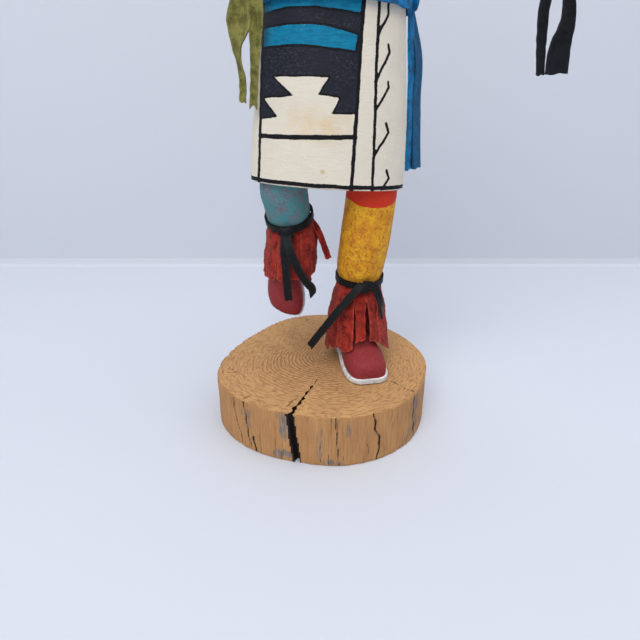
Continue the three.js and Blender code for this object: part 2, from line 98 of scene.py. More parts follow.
# %% The finish class
class Finish:
    """A material in the making: each method adds nodes and hands back an output."""

    def __init__(self, name, roughness=0.6, gloss=0.2, **shader):
        self.material = bpy.data.materials.new(name)
        self.material.use_nodes = True
        self.tree = self.material.node_tree
        self.shader = self.tree.nodes["Principled BSDF"]
        self.shader.inputs["Roughness"].default_value = roughness
        self.shader.inputs["Specular IOR Level"].default_value = gloss
        for socket, value in shader.items():
            self.shader.inputs[socket.replace("_", " ")].default_value = value
        here = self.add("ShaderNodeTexCoord").outputs["Object"]
        self.place = self.add("ShaderNodeMapping", Vector=here, Scale=(1000, 1000, 1000)).outputs[0]

    def add(self, kind, settings=None, **inputs):
        node = self.tree.nodes.new(kind)
        for key, value in (settings or {}).items():
            setattr(node, key, value)
        for key, value in inputs.items():
            socket = node.inputs[int(key[1:])] if key[0] == "i" and key[1:].isdigit() else node.inputs[key]
            if isinstance(value, bpy.types.NodeSocket):
                self.tree.links.new(value, socket)
            else:
                socket.default_value = value
        return node

    def stretch(self, x, y, z):
        """The same place, with each axis drawn out that many times."""
        return self.add("ShaderNodeMapping", Vector=self.place, Scale=(1 / x, 1 / y, 1 / z)).outputs[0]

    def noise(self, size, detail=3.0, rough=0.55, at=None, warp=0.0):
        """Cloudy noise from 0 to 1 with blotches about size millimetres across."""
        settings = dict(Scale=1 / size, Detail=detail, Roughness=rough, Distortion=warp)
        return self.add("ShaderNodeTexNoise", Vector=at or self.place, **settings).outputs[0]

    def mark(self, name):
        """A number painted on the mesh's points."""
        return self.add("ShaderNodeAttribute", {"attribute_name": name}).outputs["Fac"]

    def fade(self, value, low, high):
        """0 below low, 1 above high and even between. It turns round where low is the larger."""
        ends = {"From Min": low, "From Max": high}
        return self.add("ShaderNodeMapRange", {"clamp": True}, Value=value, **ends).outputs[0]

    def sum(self, a, b, operation="ADD"):
        return self.add("ShaderNodeMath", {"operation": operation}, i0=a, i1=b).outputs[0]

    def mix(self, share, under, over):
        settings = {"data_type": "RGBA"}
        return self.add("ShaderNodeMix", settings, Factor=share, i6=under, i7=over).outputs[2]

    def times(self, a, b):
        return self.sum(a, b, "MULTIPLY")

    def over(self, share, strength, under, tone):
        """A tone laid over what is under it, by the share weakened to strength of itself."""
        return self.mix(self.times(share, strength), under, tone)

    def spots(self, low, high, *size, **settings):
        """Noise cut to spots: 0 where it is below low, and 1 above high."""
        return self.fade(self.noise(*size, **settings), low, high)

    def done(self, base, bump=None, depth=0.1, roughness=None):
        """Joins the colour, and a bump that is depth millimetres deep."""
        self.tree.links.new(base, self.shader.inputs["Base Color"])
        if roughness is not None:
            self.tree.links.new(roughness, self.shader.inputs["Roughness"])
        if bump is not None:
            height = self.add("ShaderNodeBump", Height=bump, Strength=1.0, Distance=depth * MM)
            self.tree.links.new(height.outputs[0], self.shader.inputs["Normal"])
        return self.material


# %% [markdown]
# ## Helpers for shapes
# Nearly every piece of the doll is a skin drawn over rings: a leg is round rings along a bent line, a
# strip of suede is flat ones. So one class collects rings into a mesh, and the pieces differ only in
# their rings.

# %% Smooth lines through a few stops
def smooth(stops, shares):
    """Points on an even curve through the stops, at shares of the way from 0 to 1."""
    stops = np.array(stops, float)
    ends = np.vstack([2 * stops[0] - stops[1], stops, 2 * stops[-1] - stops[-2]])
    t = np.clip(np.asarray(shares, float), 0, 1) * (len(stops) - 1)
    i = np.minimum(t.astype(int), len(stops) - 2)
    t = (t - i)[:, None]
    a, b, c, d = (ends[i + k] for k in range(4))
    return 0.5 * (2 * b + (c - a) * t + (2 * a - 5 * b + 4 * c - d) * t**2 + (3 * b - a - 3 * c + d) * t**3)


def full_turn(count):
    """Angles evenly round a circle."""
    return np.linspace(0, 2 * np.pi, count, endpoint=False)


def unit(vectors):
    vectors = np.asarray(vectors, float)
    return vectors / np.linalg.norm(vectors, axis=-1, keepdims=True)


def on_base(x, y, height):
    return (x, y, TOP + height)


# %% The trunk leans, so its own heights are turned over the standing leg
LEAN = math.radians(2.3)


def lean(points):
    """Places on the trunk, with heights from the hem, moved to the doll."""
    x, y, z = np.moveaxis(np.asarray(points, float), -1, 0)
    across = x * math.cos(LEAN) + z * math.sin(LEAN) + 1.2
    return np.stack([across, y, z * math.cos(LEAN) - x * math.sin(LEAN) + TOP + HEM], -1)


# %% The shape class
class Shape:
    """Collects rings into one mesh. Each point may carry named marks that its finish reads."""

    def __init__(self, *marks):
        self.points, self.faces = [], []
        self.marks = {name: [] for name in marks}

    def skin(self, rings, flat_ends=False, **marks):
        """A closed skin over rings, an array of [ring, point, xyz]. Flat ends are zipped, others are fans."""
        count, around = rings.shape[:2]
        first = len(self.points)
        self.points += rings.reshape(-1, 3).tolist()
        for i in range(count - 1):
            for j in range(around):
                a, b = first + i * around + j, first + i * around + (j + 1) % around
                self.faces.append((a, b, b + around, a + around))
        added = count * around
        for ring in (0, count - 1):
            start = first + ring * around
            if flat_ends:
                last = around - 1
                for j in range(around // 2 - 1):
                    self.faces.append((start + j, start + j + 1, start + last - j - 1, start + last - j))
            else:
                self.points.append(rings[ring].mean(0).tolist())
                added += 1
                middle = len(self.points) - 1
                self.faces += [(start + j, start + (j + 1) % around, middle) for j in range(around)]
        for name, values in self.marks.items():
            given = np.broadcast_to(np.asarray(marks.get(name, 0.0), float), (count, around)).reshape(-1)
            ends = [] if flat_ends else [given[:around].mean(), given[-around:].mean()]
            values += given.tolist() + ends
        return self

    def form(self, name):
        """Makes the mesh, with its faces turned outwards, as an object."""
        mesh = bpy.data.meshes.new(name)
        mesh.from_pydata([[c * MM for c in point] for point in self.points], [], self.faces)
        for mark, values in self.marks.items():
            mesh.attributes.new(mark, "FLOAT", "POINT").data.foreach_set("value", values)
        form = bmesh.new()
        form.from_mesh(mesh)
        bmesh.ops.recalc_face_normals(form, faces=form.faces)
        form.to_mesh(mesh)
        form.free()
        return put(name, mesh)

    def build(self, name, material, node, sharp=35):
        """Makes the piece, which stands for a node of the frame, and says what it made."""
        return settle(self.form(name), material, node, sharp)


def settle(piece, material, node, sharp=35):
    """Gives a finished mesh its finish and its body, hides the node it stands for, and prints what it made.
    """
    mesh = piece.data
    mesh.materials.clear()
    mesh.materials.append(material)
    mesh.polygons.foreach_set("use_smooth", [True] * len(mesh.polygons))
    mesh.set_sharp_from_angle(angle=math.radians(sharp))
    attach(piece, "root")
    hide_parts(node)
    print(piece.name, len(mesh.polygons), "faces for", node)
    return piece


# %% Rings for limbs and for the leaning trunk
def round_rings(stops, count, around):
    """Round sections along a line. A stop is [x, y, z, radius]."""
    shares = np.linspace(0, 1, count)
    rows = smooth(stops, shares)
    ahead = unit(np.gradient(rows[:, :3], axis=0))
    side = unit(np.cross([0, 1, 0], ahead))
    fore = np.cross(ahead, side)
    angle = full_turn(around)
    spokes = side[:, None] * np.cos(angle)[:, None] + fore[:, None] * np.sin(angle)[:, None]
    return rows[:, None, :3] + spokes * rows[:, 3, None, None]


def trunk_rings(rows, count, around):
    """Level oval sections, not leaned yet. A row is [height, half width, half depth]."""
    at = smooth(rows, np.linspace(0, 1, count))
    angle = full_turn(around)
    rings = np.zeros((count, around, 3))
    rings[..., 0] = at[:, 1, None] * np.cos(angle)
    rings[..., 1] = at[:, 2, None] * np.sin(angle)
    rings[..., 2] = at[:, 0, None]
    return rings


# %% [markdown]
# ## Numbers painted on a mesh
# A painted border has a crisp edge that wanders a little, as a brush leaves it. Storing how far each
# point is inside the painted area, and letting the finish cut it at zero, keeps the edge sharp between
# the points.

# %% Distances into strokes and areas
def places(piece):
    """Every point of a piece, in millimetres."""
    flat = np.empty(3 * len(piece.data.vertices))
    piece.data.vertices.foreach_get("co", flat)
    return flat.reshape(-1, 3) / MM


def paint(piece, mark, values):
    """Stores one number for each point of the piece."""
    layer = piece.data.attributes.get(mark) or piece.data.attributes.new(mark, "FLOAT", "POINT")
    layer.data.foreach_set("value", np.asarray(values, float))


def to_line(points, line):
    """How far each flat point is from a line of straight stretches."""
    near = np.full(len(points), 1e9)
    for start, end in zip(np.array(line[:-1], float), np.array(line[1:], float)):
        along = end - start
        share = np.clip((points - start) @ along / (along @ along), 0, 1)
        near = np.minimum(near, np.linalg.norm(points - start - share[:, None] * along, axis=1))
    return near


def stroke(points, line, wide):
    """Positive inside a brush stroke along the line."""
    return wide / 2 - to_line(points, line)


def area(points, outline):
    """Positive inside a closed outline, and negative outside it."""
    outline = [*outline, outline[0]]
    inside = np.zeros(len(points), bool)
    for (x0, y0), (x1, y1) in zip(outline[:-1], outline[1:]):
        crosses = (y0 > points[:, 1]) != (y1 > points[:, 1])
        reach = x0 + (points[:, 1] - y0) / (y1 - y0 + 1e-12) * (x1 - x0)
        inside ^= crosses & (points[:, 0] < reach)
    return to_line(points, outline) * np.where(inside, 1, -1)


# %% [markdown]
# ## The slice of branch
# The base is a dry slice of branch without bark. Its rim is a circle with a few waves, its top is sawn,
# and drying has split it from near the pith to the front. Rings of points make the slab, a jagged wedge
# is cut out of it for the wide crack, and the narrow cracks are marked on its points. The finish paints
# the wide crack's walls and the narrow cracks near black, as painted shade.

# %% The slab
RIM_WAVES = ((1, 0.027, 2.9), (2, 0.013, -0.8), (3, 0.037, 3.2), (4, 0.02, 0.3), (9, 0.004, 1.9))
SLICE_WIDE, SLICE_DEEP = 54, 51.2
PITH = np.array((7.5, 3.6))
CHIPPED_AT = math.radians(152)
GROWTH_RINGS, DASH_ROWS = 34, 74
OUTSIDE = -9  # the mark of a place far from any paint, crack or edge
CRACK_DRIFT = 3


def rim(angle):
    """The rim's place at each angle, at the slice's top."""
    reach = 1 + sum(share * np.sin(lobes * angle + start) for lobes, share, start in RIM_WAVES)
    return np.stack([SLICE_WIDE * reach * np.cos(angle), SLICE_DEEP * reach * np.sin(angle)], -1)


def rough(points, scale, seed=0.0):
    """Smooth random waves between about -1 and 1, the same at each run."""
    p = np.asarray(points, float) / scale + seed
    x, y, z = p[..., 0], p[..., 1], p[..., 2]
    first = np.sin(1.7 * x + 2.3 * y + 1.3) * np.sin(1.9 * y - 1.1 * z + 0.7) + np.sin(2.1 * z + 1.3 * x)
    second = np.sin(4.3 * x - 3.1 * z + 2.9) * np.sin(3.7 * y + 4.1 * x + 0.3) * np.sin(3.3 * z + 1.9)
    return 0.5 * first + 0.5 * second


def slab_rings(around=560):
    angle = full_turn(around)
    edge = rim(angle)
    wall = [(1 + 0.014 * (1 - z / TOP), z) for z in np.linspace(0.6, TOP - 0.7, 26)]
    top = [(1 - inward, TOP) for inward in (0.012, *np.linspace(0.03, 0.985, 60))]
    rows = [(0.3, 0), (0.8, 0), (1.006, 0), *wall, (0.998, TOP - 0.2), *top]
    rings = np.stack([np.column_stack([edge * share, np.full(around, z)]) for share, z in rows])
    steep = np.array([share > 0.97 for share, _ in rows])[:, None]
    out = unit(edge)
    grain = rough(np.column_stack([edge, np.zeros(around)]), 1.6) * 0.16
    chipped = np.clip(np.cos(angle - CHIPPED_AT) * 2.2 - 1, 0, 1)
    chips = chipped * np.clip(rough(np.column_stack([edge, edge[:, 0]]), 1.3, 4) + 0.15, 0, 1) * 1.7
    worn = np.clip((rings[..., 2] - TOP + 7) / 7, 0, 1) * chips
    inward = np.where(steep, grain + 0.12 * rough(rings, 5, 2) - worn, 0)
    rings[..., :2] += out * inward[..., None]
    rings[..., 2] += np.where(rings[..., 2] > TOP - 0.1, 0.06 * rough(rings, 3, 7) - 0.06, 0)
    return rings


print("the rim is", np.round(np.ptp(rim(np.linspace(0, 6.28, 400)), axis=0), 1), "mm across")


# %% The wide crack
CRACK_TIP, CRACK_REACH = 21.5, 36.5


def crack_sides(out, depth_share):
    """The crack's two walls at y = -out, lower down by depth_share of the slice's thickness."""
    way = (out - CRACK_TIP) / CRACK_REACH
    splinter = np.column_stack([out, 0 * out, 0 * out])
    open_by = np.clip((out - CRACK_TIP) / 5, 0, 1)
    left = -3.2 - 17.5 * way + CRACK_DRIFT * depth_share + 0.65 * open_by * rough(splinter, 1.1, 1)
    right = -3.2 - 14.5 * way + CRACK_DRIFT * depth_share + 0.6 * open_by * rough(splinter, 0.9, 5)
    return left, np.maximum(right, left + 0.25 + 0.6 * way)


def crack_wedge():
    out = np.linspace(CRACK_TIP, 58, 70)
    rings = []
    for z in np.linspace(-2, TOP + 2, 22):
        left, right = crack_sides(out, 1 - z / TOP)
        fibre = 0.25 * rough(np.column_stack([out, 0 * out + z * 0.6, 0 * out]), 2.2, 3)
        wall = np.column_stack([left + fibre, -out, np.full(len(out), z)])
        back = np.column_stack([right + fibre, -out, np.full(len(out), z)])[::-1]
        rings.append(np.vstack([wall, back]))
    return np.stack(rings)


def in_crack(points):
    """1 on the walls inside the wide crack, and 0 elsewhere."""
    x, out, z = points[:, 0], -points[:, 1], points[:, 2]
    left, right = crack_sides(out, 1 - z / TOP)
    near = (x > left - 0.6) & (x < right + 0.6) & (out > CRACK_TIP - 0.5)
    return near & (z < TOP - 0.3)


def cut(piece, cutter):
    """Takes the cutter's form out of the piece for good."""
    step = piece.modifiers.new("crack", "BOOLEAN")
    step.operation, step.object, step.solver = "DIFFERENCE", cutter, "EXACT"
    bpy.context.view_layer.update()
    result = bpy.data.meshes.new_from_object(piece.evaluated_get(bpy.context.evaluated_depsgraph_get()))
    piece.modifiers.clear()
    piece.data = result
    bpy.data.objects.remove(cutter)


# %% Narrow cracks, each with its line and width
SIDE_CRACKS = (
    ([(21.9, TOP + 1), (22.9, 22), (22.8, 18.5), (24.9, 14.5), (25.6, 8), (24.3, 0)], 0.8),
    ([(4.8, TOP), (5.6, 14), (6.7, 0)], 0.45),
    ([(42.4, TOP), (43.0, 14), (45.0, 0)], 0.5),
    ([(-37.2, TOP), (-36.6, 15), (-35, 2)], 0.55),
    ([(-43.2, TOP - 1), (-41.8, 13), (-39.4, 2)], 0.45),
    ([(-33.4, 9), (-32.4, 0)], 0.9),
    ([(-1.9, 14), (-1.4, 6), (-1.6, 0)], 0.35),
    ([(1.6, 7), (1.9, 0)], 0.3),
    ([(13.5, 20), (13.2, 12)], 0.2),
    ([(19.2, 13), (19.8, 9), (20.6, 4)], 0.3),
    ([(8.9, 9), (9.2, 1)], 0.25),
    ([(31, 24), (31.2, 15)], 0.15),
)
TOP_CRACKS = (
    ([(31.3, -22), (37, -27.4), (42.4, -31.6)], 0.4),
    ([(-10.9, 47.5), (-9.6, 44)], 0.7),
    ([(-17.4, -43.5), (-15.6, -41.4), (-15.1, -39.2), (-13.2, -37.6)], 0.45),
    ([(-38, -38), (-34.6, -34.8)], 0.6),
    ([(-49.5, -16), (-44, -14.8)], 0.4),
)
GREY_PATCHES = (
    ([(-18.5, 24), (-18, 15)], 6), ([(-23, 4), (-15, 3)], 5), ([(-36, 22), (-35.6, 15)], 3.4),
    ([(-2.4, 22), (-1.6, 3)], 2.6), ([(3.2, 2), (8, 1)], 4), ([(10.4, 24), (10.6, 19)], 2.2),
    ([(44, 23), (44.6, 8)], 5), ([(39.5, 3), (42, 5)], 4),
)


def on_side(points):
    """True on the slice's side wall, and False on its top, its foot and in its crack."""
    edge = rim(np.arctan2(points[:, 1], points[:, 0]))
    out = np.linalg.norm(points[:, :2], axis=1) > 0.96 * np.linalg.norm(edge, axis=1)
    return out & (points[:, 2] < TOP - 0.1) & ~in_crack(points)


def narrow_cracks(points):
    """Positive inside a narrow crack."""
    side, top = on_side(points) & (points[:, 1] < -8), points[:, 2] > TOP - 0.15
    wall, face = points[:, (0, 2)] + 0.35 * rough(points, 2.6)[:, None] * (1, 0), points[:, :2]
    face = face + 0.4 * rough(points, 1.7, 2)[:, None]
    on_wall = np.max([stroke(wall, line, wide) for line, wide in SIDE_CRACKS], axis=0)
    on_top = np.max([stroke(face, line, wide) for line, wide in TOP_CRACKS], axis=0)
    return np.maximum(np.where(side, on_wall, OUTSIDE), np.where(top, on_top, OUTSIDE))


def grey_patches(points):
    """How deep inside a weathered grey patch each point of the side is."""
    flat = points[:, (0, 2)] + 1.4 * np.column_stack([rough(points, 3.1, 5), rough(points, 4.0, 8)])
    deep = np.max([stroke(flat, line, wide) for line, wide in GREY_PATCHES], axis=0)
    return np.where(points[:, 1] < -8, deep, -2.2 + 3 * rough(points, 9, 1))


# %% The finish of dry, weathered end grain
def bare_wood():
    wood = Finish("dry sawn branch wood", roughness=0.8)
    age, radial, side = (wood.mark(name) for name in ("age", "radial", "side"))
    drift = wood.times(wood.noise(9, 2), 2.2)
    rings = wood.sum(wood.times(age, GROWTH_RINGS), drift)
    line = wood.fade(wood.add("ShaderNodeMath", {"operation": "FRACT"}, i0=rings).outputs[0], 0.35, 1.0)
    line = wood.times(line, wood.spots(0.25, 0.5, 16, 2))
    line = wood.times(line, wood.fade(age, 0.9, 0.45))
    dash_at = wood.add("ShaderNodeCombineXYZ", X=wood.times(age, DASH_ROWS),
                       Y=wood.times(radial, 15)).outputs[0]
    dashes = wood.spots(0.5, 0.62, 1.25, 4, at=dash_at, rough=0.65)
    pits = wood.spots(0.62, 0.7, 1.1, 4, at=dash_at, rough=0.7)
    fuzz = wood.noise(0.5, 3, 0.7)
    fibre = wood.noise(0.55, 4, at=wood.stretch(1, 1, 26))
    fissure = wood.spots(0.61, 0.72, 0.9, 3, at=wood.stretch(1, 1, 26))
    dry = wood.spots(0.35, 0.6, 11, 2, at=wood.stretch(1, 1, 2))
    fissure = wood.times(fissure, dry)
    tone = wood.noise(13, 3)
    top = wood.mix(tone, colour(212, 166, 113), colour(176, 134, 92))
    top = wood.over(line, 0.85, top, colour(128, 88, 54))
    top = wood.over(dashes, 0.55, top, colour(140, 94, 58))
    top = wood.over(pits, 0.75, top, colour(96, 60, 40))
    top = wood.over(wood.fade(fuzz, 0.5, 0.75), 0.25, top, colour(160, 114, 72))
    # A darker patch on the top near the pith, reaching under the standing moccasin's sole.
    tinted_patch = wood.fade(wood.mark("tinted_patch"), -4, 4)
    top = wood.over(tinted_patch, 0.45, top, colour(120, 92, 68))
    wall = wood.mix(wood.noise(9, 3, at=wood.stretch(1, 1, 3)), colour(204, 156, 104),
                    colour(166, 120, 78))
    wall = wood.over(wood.fade(fibre, 0.4, 0.7), 0.8, wall, colour(160, 116, 78))
    ragged = wood.noise(1.5, 4, at=wood.stretch(1, 1, 6), rough=0.7)
    grey = wood.fade(wood.sum(wood.mark("grey"), wood.times(ragged, 9)), 4.2, 6.6)
    greyer = wood.mix(wood.fade(fibre, 0.4, 0.6), colour(128, 126, 126), colour(84, 84, 88))
    wall = wood.over(grey, 0.8, wall, greyer)
    wall = wood.over(fissure, 0.75, wall, colour(96, 70, 50))
    base = wood.mix(side, top, wall)
    # Painted shade: the wide crack's walls and the narrow cracks are painted near black, for the shadow
    # inside them.
    base = wood.mix(wood.fade(wood.mark("crack"), -0.12, 0.12), base, colour(34, 26, 22))
    grain = wood.sum(wood.sum(dashes, pits), wood.times(line, 0.7))
    relief = wood.mix(side, wood.times(grain, -0.6), wood.sum(fibre, fissure, "SUBTRACT"))
    return wood.done(base, relief, 0.22)


# %% Make the slice
slice_wood = bare_wood()
slab = Shape().skin(slab_rings()).build("slice_of_branch", slice_wood, "base", sharp=50)
cut(slab, Shape().skin(crack_wedge()).form("wedge"))
at = places(slab)
edge = rim(np.arctan2(at[:, 1], at[:, 0]))
paint(slab, "age", np.linalg.norm(at[:, :2] - PITH, axis=1) / np.linalg.norm(edge - PITH, axis=1))
paint(slab, "radial", np.arctan2(at[:, 1] - PITH[1], at[:, 0] - PITH[0]))
paint(slab, "side", on_side(at))
paint(slab, "grey", grey_patches(at))
# The darker patch on the top, beside the standing moccasin's inner edge.
paint(slab, "tinted_patch", stroke(at[:, :2], [(10, -1), (16, 3)], 8))
# The crack mark is 1 on the wide crack's walls and the narrow cracks' depth elsewhere. The finish turns it
# into painted shade.
paint(slab, "crack", np.where(in_crack(at), 1.0, np.maximum(narrow_cracks(at), -0.25)))
print("slice:", len(slab.data.polygons), "faces")


# %% [markdown]
# ## The kilt
# Kilt, trunk, legs and moccasins are one carving. Here each painted part of it is a skin of its own, so
# that its paint can be drawn at its own fineness. The kilt's front carries a woven-style panel: its lines
# and areas are short strokes and outlines in millimetres across and above the hem.

# %% The kilt's form
KILT_ROWS = ((-3, 33.8, 21.6), (14, 33.1, 21.6), (32, 31.4, 21.8), (50, 29.2, 21.6), (64, 27.2, 21.4),
             (78, 25.8, 21))


def hem_height(x, y):
    """The hem isn't quite level: it dips at the standing leg and at the back."""
    return -0.0157 * x - 0.0454 * y


def kilt_rings(count=170, around=340):
    rings = trunk_rings(KILT_ROWS, count, around)
    share = np.linspace(0, 1, count)[:, None]
    low = hem_height(rings[..., 0], rings[..., 1])
    rings[..., 2] = low + share * (KILT_ROWS[-1][0] - low)
    carved = rough(rings, 7) * 0.14 + rough(rings, 2.4, 3) * 0.04
    rings[..., :2] *= 1 + carved[..., None] / 28
    first, last = rings[0], rings[-1]
    under = first * (0.982, 0.978, 1)
    rings[0, :, 2] += 0.45
    return np.concatenate([under[None] * (0.5, 0.5, 1), under[None], rings, last[None] * (0.9, 0.9, 1)])


# %% What is painted on it
MOTIF = [(-29.5, 25.2), (-20.6, 26.6), (-26.2, 32.9), (-14.3, 34.0), (-22.1, 40.2), (-1.7, 40.6),
         (-5.5, 34.9),
         (2.6, 34.0), (-0.1, 28.5), (10.5, 28.9), (10.5, -2), (-30, -2)]
PANEL = [(-26.6, 60.9), (-18, 61.7), (-7, 61.7), (9.3, 60.4), (9.6, 28), (-28.3, 25)]
UPPER_BLUE = [(-26.6, 60.6), (-18, 61.5), (-7, 61.4), (9, 60.1), (9, 79), (-26, 79)]
LOWER_BLUE = [(-26.8, 50.1), (-12, 50.5), (7.4, 49.1), (7.7, 53.9), (-4, 56.2), (-12.6, 56.5),
              (-26.8, 55.9)]
LINES = (
    ([(-26.2, 79), (-27, 56), (-27.5, 36), (-28.3, 18), (-29.3, 0)], 1.25),
    ([(9.4, 79), (9.1, 50), (9.4, 30), (9.5, 10), (9.4, 0)], 1.5),
    ([(14.2, 79), (15.7, 44), (17, 24), (18.3, 0)], 1.2),
    ([(-28.2, 19.4), (-11.7, 20), (9.6, 20.9)], 1.75),
    ([(-22.6, 40.9), (-11, 41.2), (-1.4, 41)], 0.9),
    ([(-26.6, 49.8), (-12, 50.2), (8, 48.8)], 0.8),
    ([(15.2, 54.4), (18.6, 61), (18.1, 66)], 0.95),
    ([(15.7, 40), (20.4, 49.6), (19.5, 52)], 1.0),
    ([(16.6, 30.2), (21.2, 38.2), (20.8, 40.2)], 0.95),
    ([(17.7, 14.3), (23, 22.8), (21.5, 26)], 1.05),
    ([(22.4, 1), (25.1, 5.5), (23.7, 8.6)], 1.1),
)


def kilt_marks(at):
    """How far each trunk place is inside the black paint, and inside the blue."""
    flat = at[:, (0, 2)] + 0.12 * np.column_stack([rough(at, 2.1, 1), rough(at, 1.8, 6)])
    black = np.max([stroke(flat, line, wide) for line, wide in LINES], axis=0)
    slate = np.minimum(area(flat, PANEL), -area(flat, MOTIF))
    slate = np.minimum(slate, -area(flat, LOWER_BLUE))
    blue = np.maximum(area(flat, UPPER_BLUE), area(flat, LOWER_BLUE)) + 0.25
    front = at[:, 1] < 0
    black = np.where(front, np.maximum(black, slate), OUTSIDE)
    above_hem = at[:, 2] - hem_height(at[:, 0], at[:, 1])
    border = 0.82 - abs(above_hem - 1.35 - 0.15 * rough(at, 3))
    return np.maximum(black, border), np.where(front, blue, OUTSIDE), np.where(front, slate, OUTSIDE)


# %% Its paint
def kilt_paint():
    kilt = Finish("matte kilt paint", roughness=0.62)
    cream = kilt.mix(kilt.noise(11, 3), colour(229, 222, 208), colour(219, 210, 193))
    # A yellowed stain on the cream of the front.
    tinted_patch = kilt.times(kilt.fade(kilt.mark("tinted_patch"), -6, 3.5), kilt.spots(0.25, 0.6, 5, 3))
    cream = kilt.over(tinted_patch, 0.75, cream, colour(226, 196, 152))
    cream = kilt.mix(kilt.fade(kilt.mark("spot"), -0.5, 0.5), cream, colour(194, 178, 130))
    flecks = kilt.spots(0.62, 0.75, 0.8, 2, at=kilt.stretch(3, 3, 1))
    cream = kilt.over(flecks, 0.25, cream, colour(205, 190, 165))
    brush = kilt.noise(0.8, 3, at=kilt.stretch(4, 4, 1))
    blue = kilt.mix(kilt.fade(brush, 0.3, 0.7), colour(0, 130, 168), colour(0, 104, 140))
    light = kilt.spots(0.64, 0.72, 0.6, 2, at=kilt.stretch(5, 5, 1))
    blue = kilt.over(light, 0.4, blue, colour(90, 170, 190))
    black = kilt.mix(kilt.noise(1.2, 3), colour(7, 8, 12), colour(16, 17, 22))
    slate = kilt.mix(kilt.noise(14, 2), colour(38, 38, 49), colour(20, 25, 35))
    grit = kilt.spots(0.52, 0.68, 0.6, 3, at=kilt.stretch(2, 2, 1))
    grit = kilt.times(grit, kilt.spots(0.35, 0.6, 12, 1))
    slate = kilt.over(grit, 0.4, slate, colour(78, 86, 102))
    wander = kilt.times(kilt.sum(kilt.noise(0.5, 2), 0.5, "SUBTRACT"), 0.45)
    inside_blue = kilt.fade(kilt.sum(kilt.mark("blue"), wander), -0.06, 0.06)
    inside_black = kilt.fade(kilt.sum(kilt.mark("black"), wander), -0.06, 0.06)
    inside_slate = kilt.fade(kilt.sum(kilt.mark("slate"), wander), 0.6, 0.8)
    base = kilt.mix(inside_blue, cream, blue)
    base = kilt.mix(inside_black, base, black)
    base = kilt.mix(inside_slate, base, slate)
    weave = kilt.sum(kilt.noise(0.5, 3), brush)
    return kilt.done(base, weave, 0.16)


# %% Make the kilt
rings = kilt_rings()
kilt = Shape().skin(lean(rings)).build("kilt", kilt_paint(), "figure", sharp=60)
flat = np.vstack([rings.reshape(-1, 3), rings[0].mean(0), rings[-1].mean(0)])
black, blue, slate = kilt_marks(flat)
for mark, values in (("black", black), ("blue", blue), ("slate", slate)):
    paint(kilt, mark, values)
for mark, line, wide in (("tinted_patch", [(-12, 24.5), (3, 24.5)], 5),
                         ("spot", [(-2.6, 7.8), (-2.4, 7.7)], 1.4)):
    paint(kilt, mark, np.where(flat[:, 1] < 0, stroke(flat[:, (0, 2)], line, wide), OUTSIDE))
print("panel and border painted")

# %% [markdown]
# ## Legs
# The left leg carries the doll and the right one is lifted. The paint was dabbed on with a sponge, so
# each colour has specks of others in it, finest where the sponge was driest.

# %% Sponged paint
def sponged(name, base, second, specks, blotches, top_band=None, seed=0.0):
    """Paint dabbed over paint: a slow change of tone, a fine grain, small specks and a few blotches."""
    dab = Finish(name, roughness=0.66)
    at = dab.add("ShaderNodeMapping", Vector=dab.place, Location=(seed, seed, seed)).outputs[0]
    tone = dab.mix(dab.spots(0.38, 0.62, 5, 3, at=at), base, second)
    grain = dab.spots(0.44, 0.62, 1.3, 3, 0.7, at=at)
    dry = dab.spots(0.25, 0.55, 6, 2, at=at)
    tone = dab.over(dab.times(grain, dry), 0.75, tone, specks)
    dots = dab.spots(0.56, 0.66, 1.4, 4, 0.7, at=at)
    tone = dab.over(dots, 0.6, tone, blotches)
    stains = dab.spots(0.6, 0.72, 5, 5, 0.75, at=at)
    tone = dab.over(stains, 0.7, tone, blotches)
    if top_band:
        tone = dab.mix(dab.fade(dab.mark("band"), -0.12, 0.12), tone, top_band)
    return dab.done(tone, dab.noise(0.6, 3, at=at), 0.12)


yellow = sponged("yellow sponged paint", colour(230, 174, 40), colour(212, 146, 38), colour(170, 92, 40),
                 colour(138, 54, 32), top_band=colour(200, 52, 30))
turquoise = sponged("turquoise sponged paint", colour(56, 142, 146), colour(104, 122, 132),
                    colour(112, 98, 112),
                    colour(118, 52, 74), seed=11.0)

# %% The legs' forms
STANDING_LEG = ((21.2, -2, HEM + 12, 11.4), (21.1, -2, HEM - 3, 11.3), (19.4, -0.5, 67, 11.7),
                (17.9, 2.1, 52, 11.5),
                (17.7, 2.7, 45.8, 10.5))
LIFTED_LEG = ((-17, -1.6, HEM + 12, 9.6), (-18.1, -2.6, HEM - 1, 10.6), (-17.5, -1.9, 84, 10.4),
              (-16.6, -0.3, 78, 10.1), (-16.4, 0.6, 75.4, 9.9))
STANDING_ANKLE = ((17.7, 2.6, 47, 8.6), (17.4, 3.2, 34, 8.8), (16.8, 4.4, 12, 8.8))
LIFTED_ANKLE = ((-16.4, -0.4, 78, 7.6), (-16.6, 2.6, 70, 7.6), (-17.4, 5, 56, 8))


def raised(stops):
    """Stops given by their height over the slice, as places on the doll."""
    return [(x, y, TOP + z, *rest) for x, y, z, *rest in stops]


def limb_rings(stops):
    rings = round_rings(raised(stops), 60, 96)
    return rings + 0.06 * rough(rings, 6)[..., None]


standing = Shape().skin(limb_rings(STANDING_LEG)).build("standing_leg", yellow, "figure")
at = places(standing)
paint(standing, "band", at[:, 2] - TOP - 82.2 - 0.022 * (at[:, 0] - 21) ** 2 - 0.5 * rough(at, 7, 3))
Shape().skin(limb_rings(LIFTED_LEG)).build("lifted_leg", turquoise, "figure")

# %% [markdown]
# ## Moccasins
# A moccasin is a low painted upper on a thin white sole that stands out round it.

# %% The foot's forms, heel at the origin and toe along -Y
FOOT_ROWS = ((0, 0, 4.6, 12), (1.6, 0, 7, 13), (7, 0, 7.2, 17), (15, 0.2, 7.5, 19.6), (24, 0.9, 9, 17.2),
             (32, 1.6, 10, 13.5), (38, 1.8, 9.4, 11.4), (42, 1.9, 7.5, 9.4), (43.6, 1.9, 4.2, 7))
FOOT_LONG = FOOT_ROWS[-1][0]


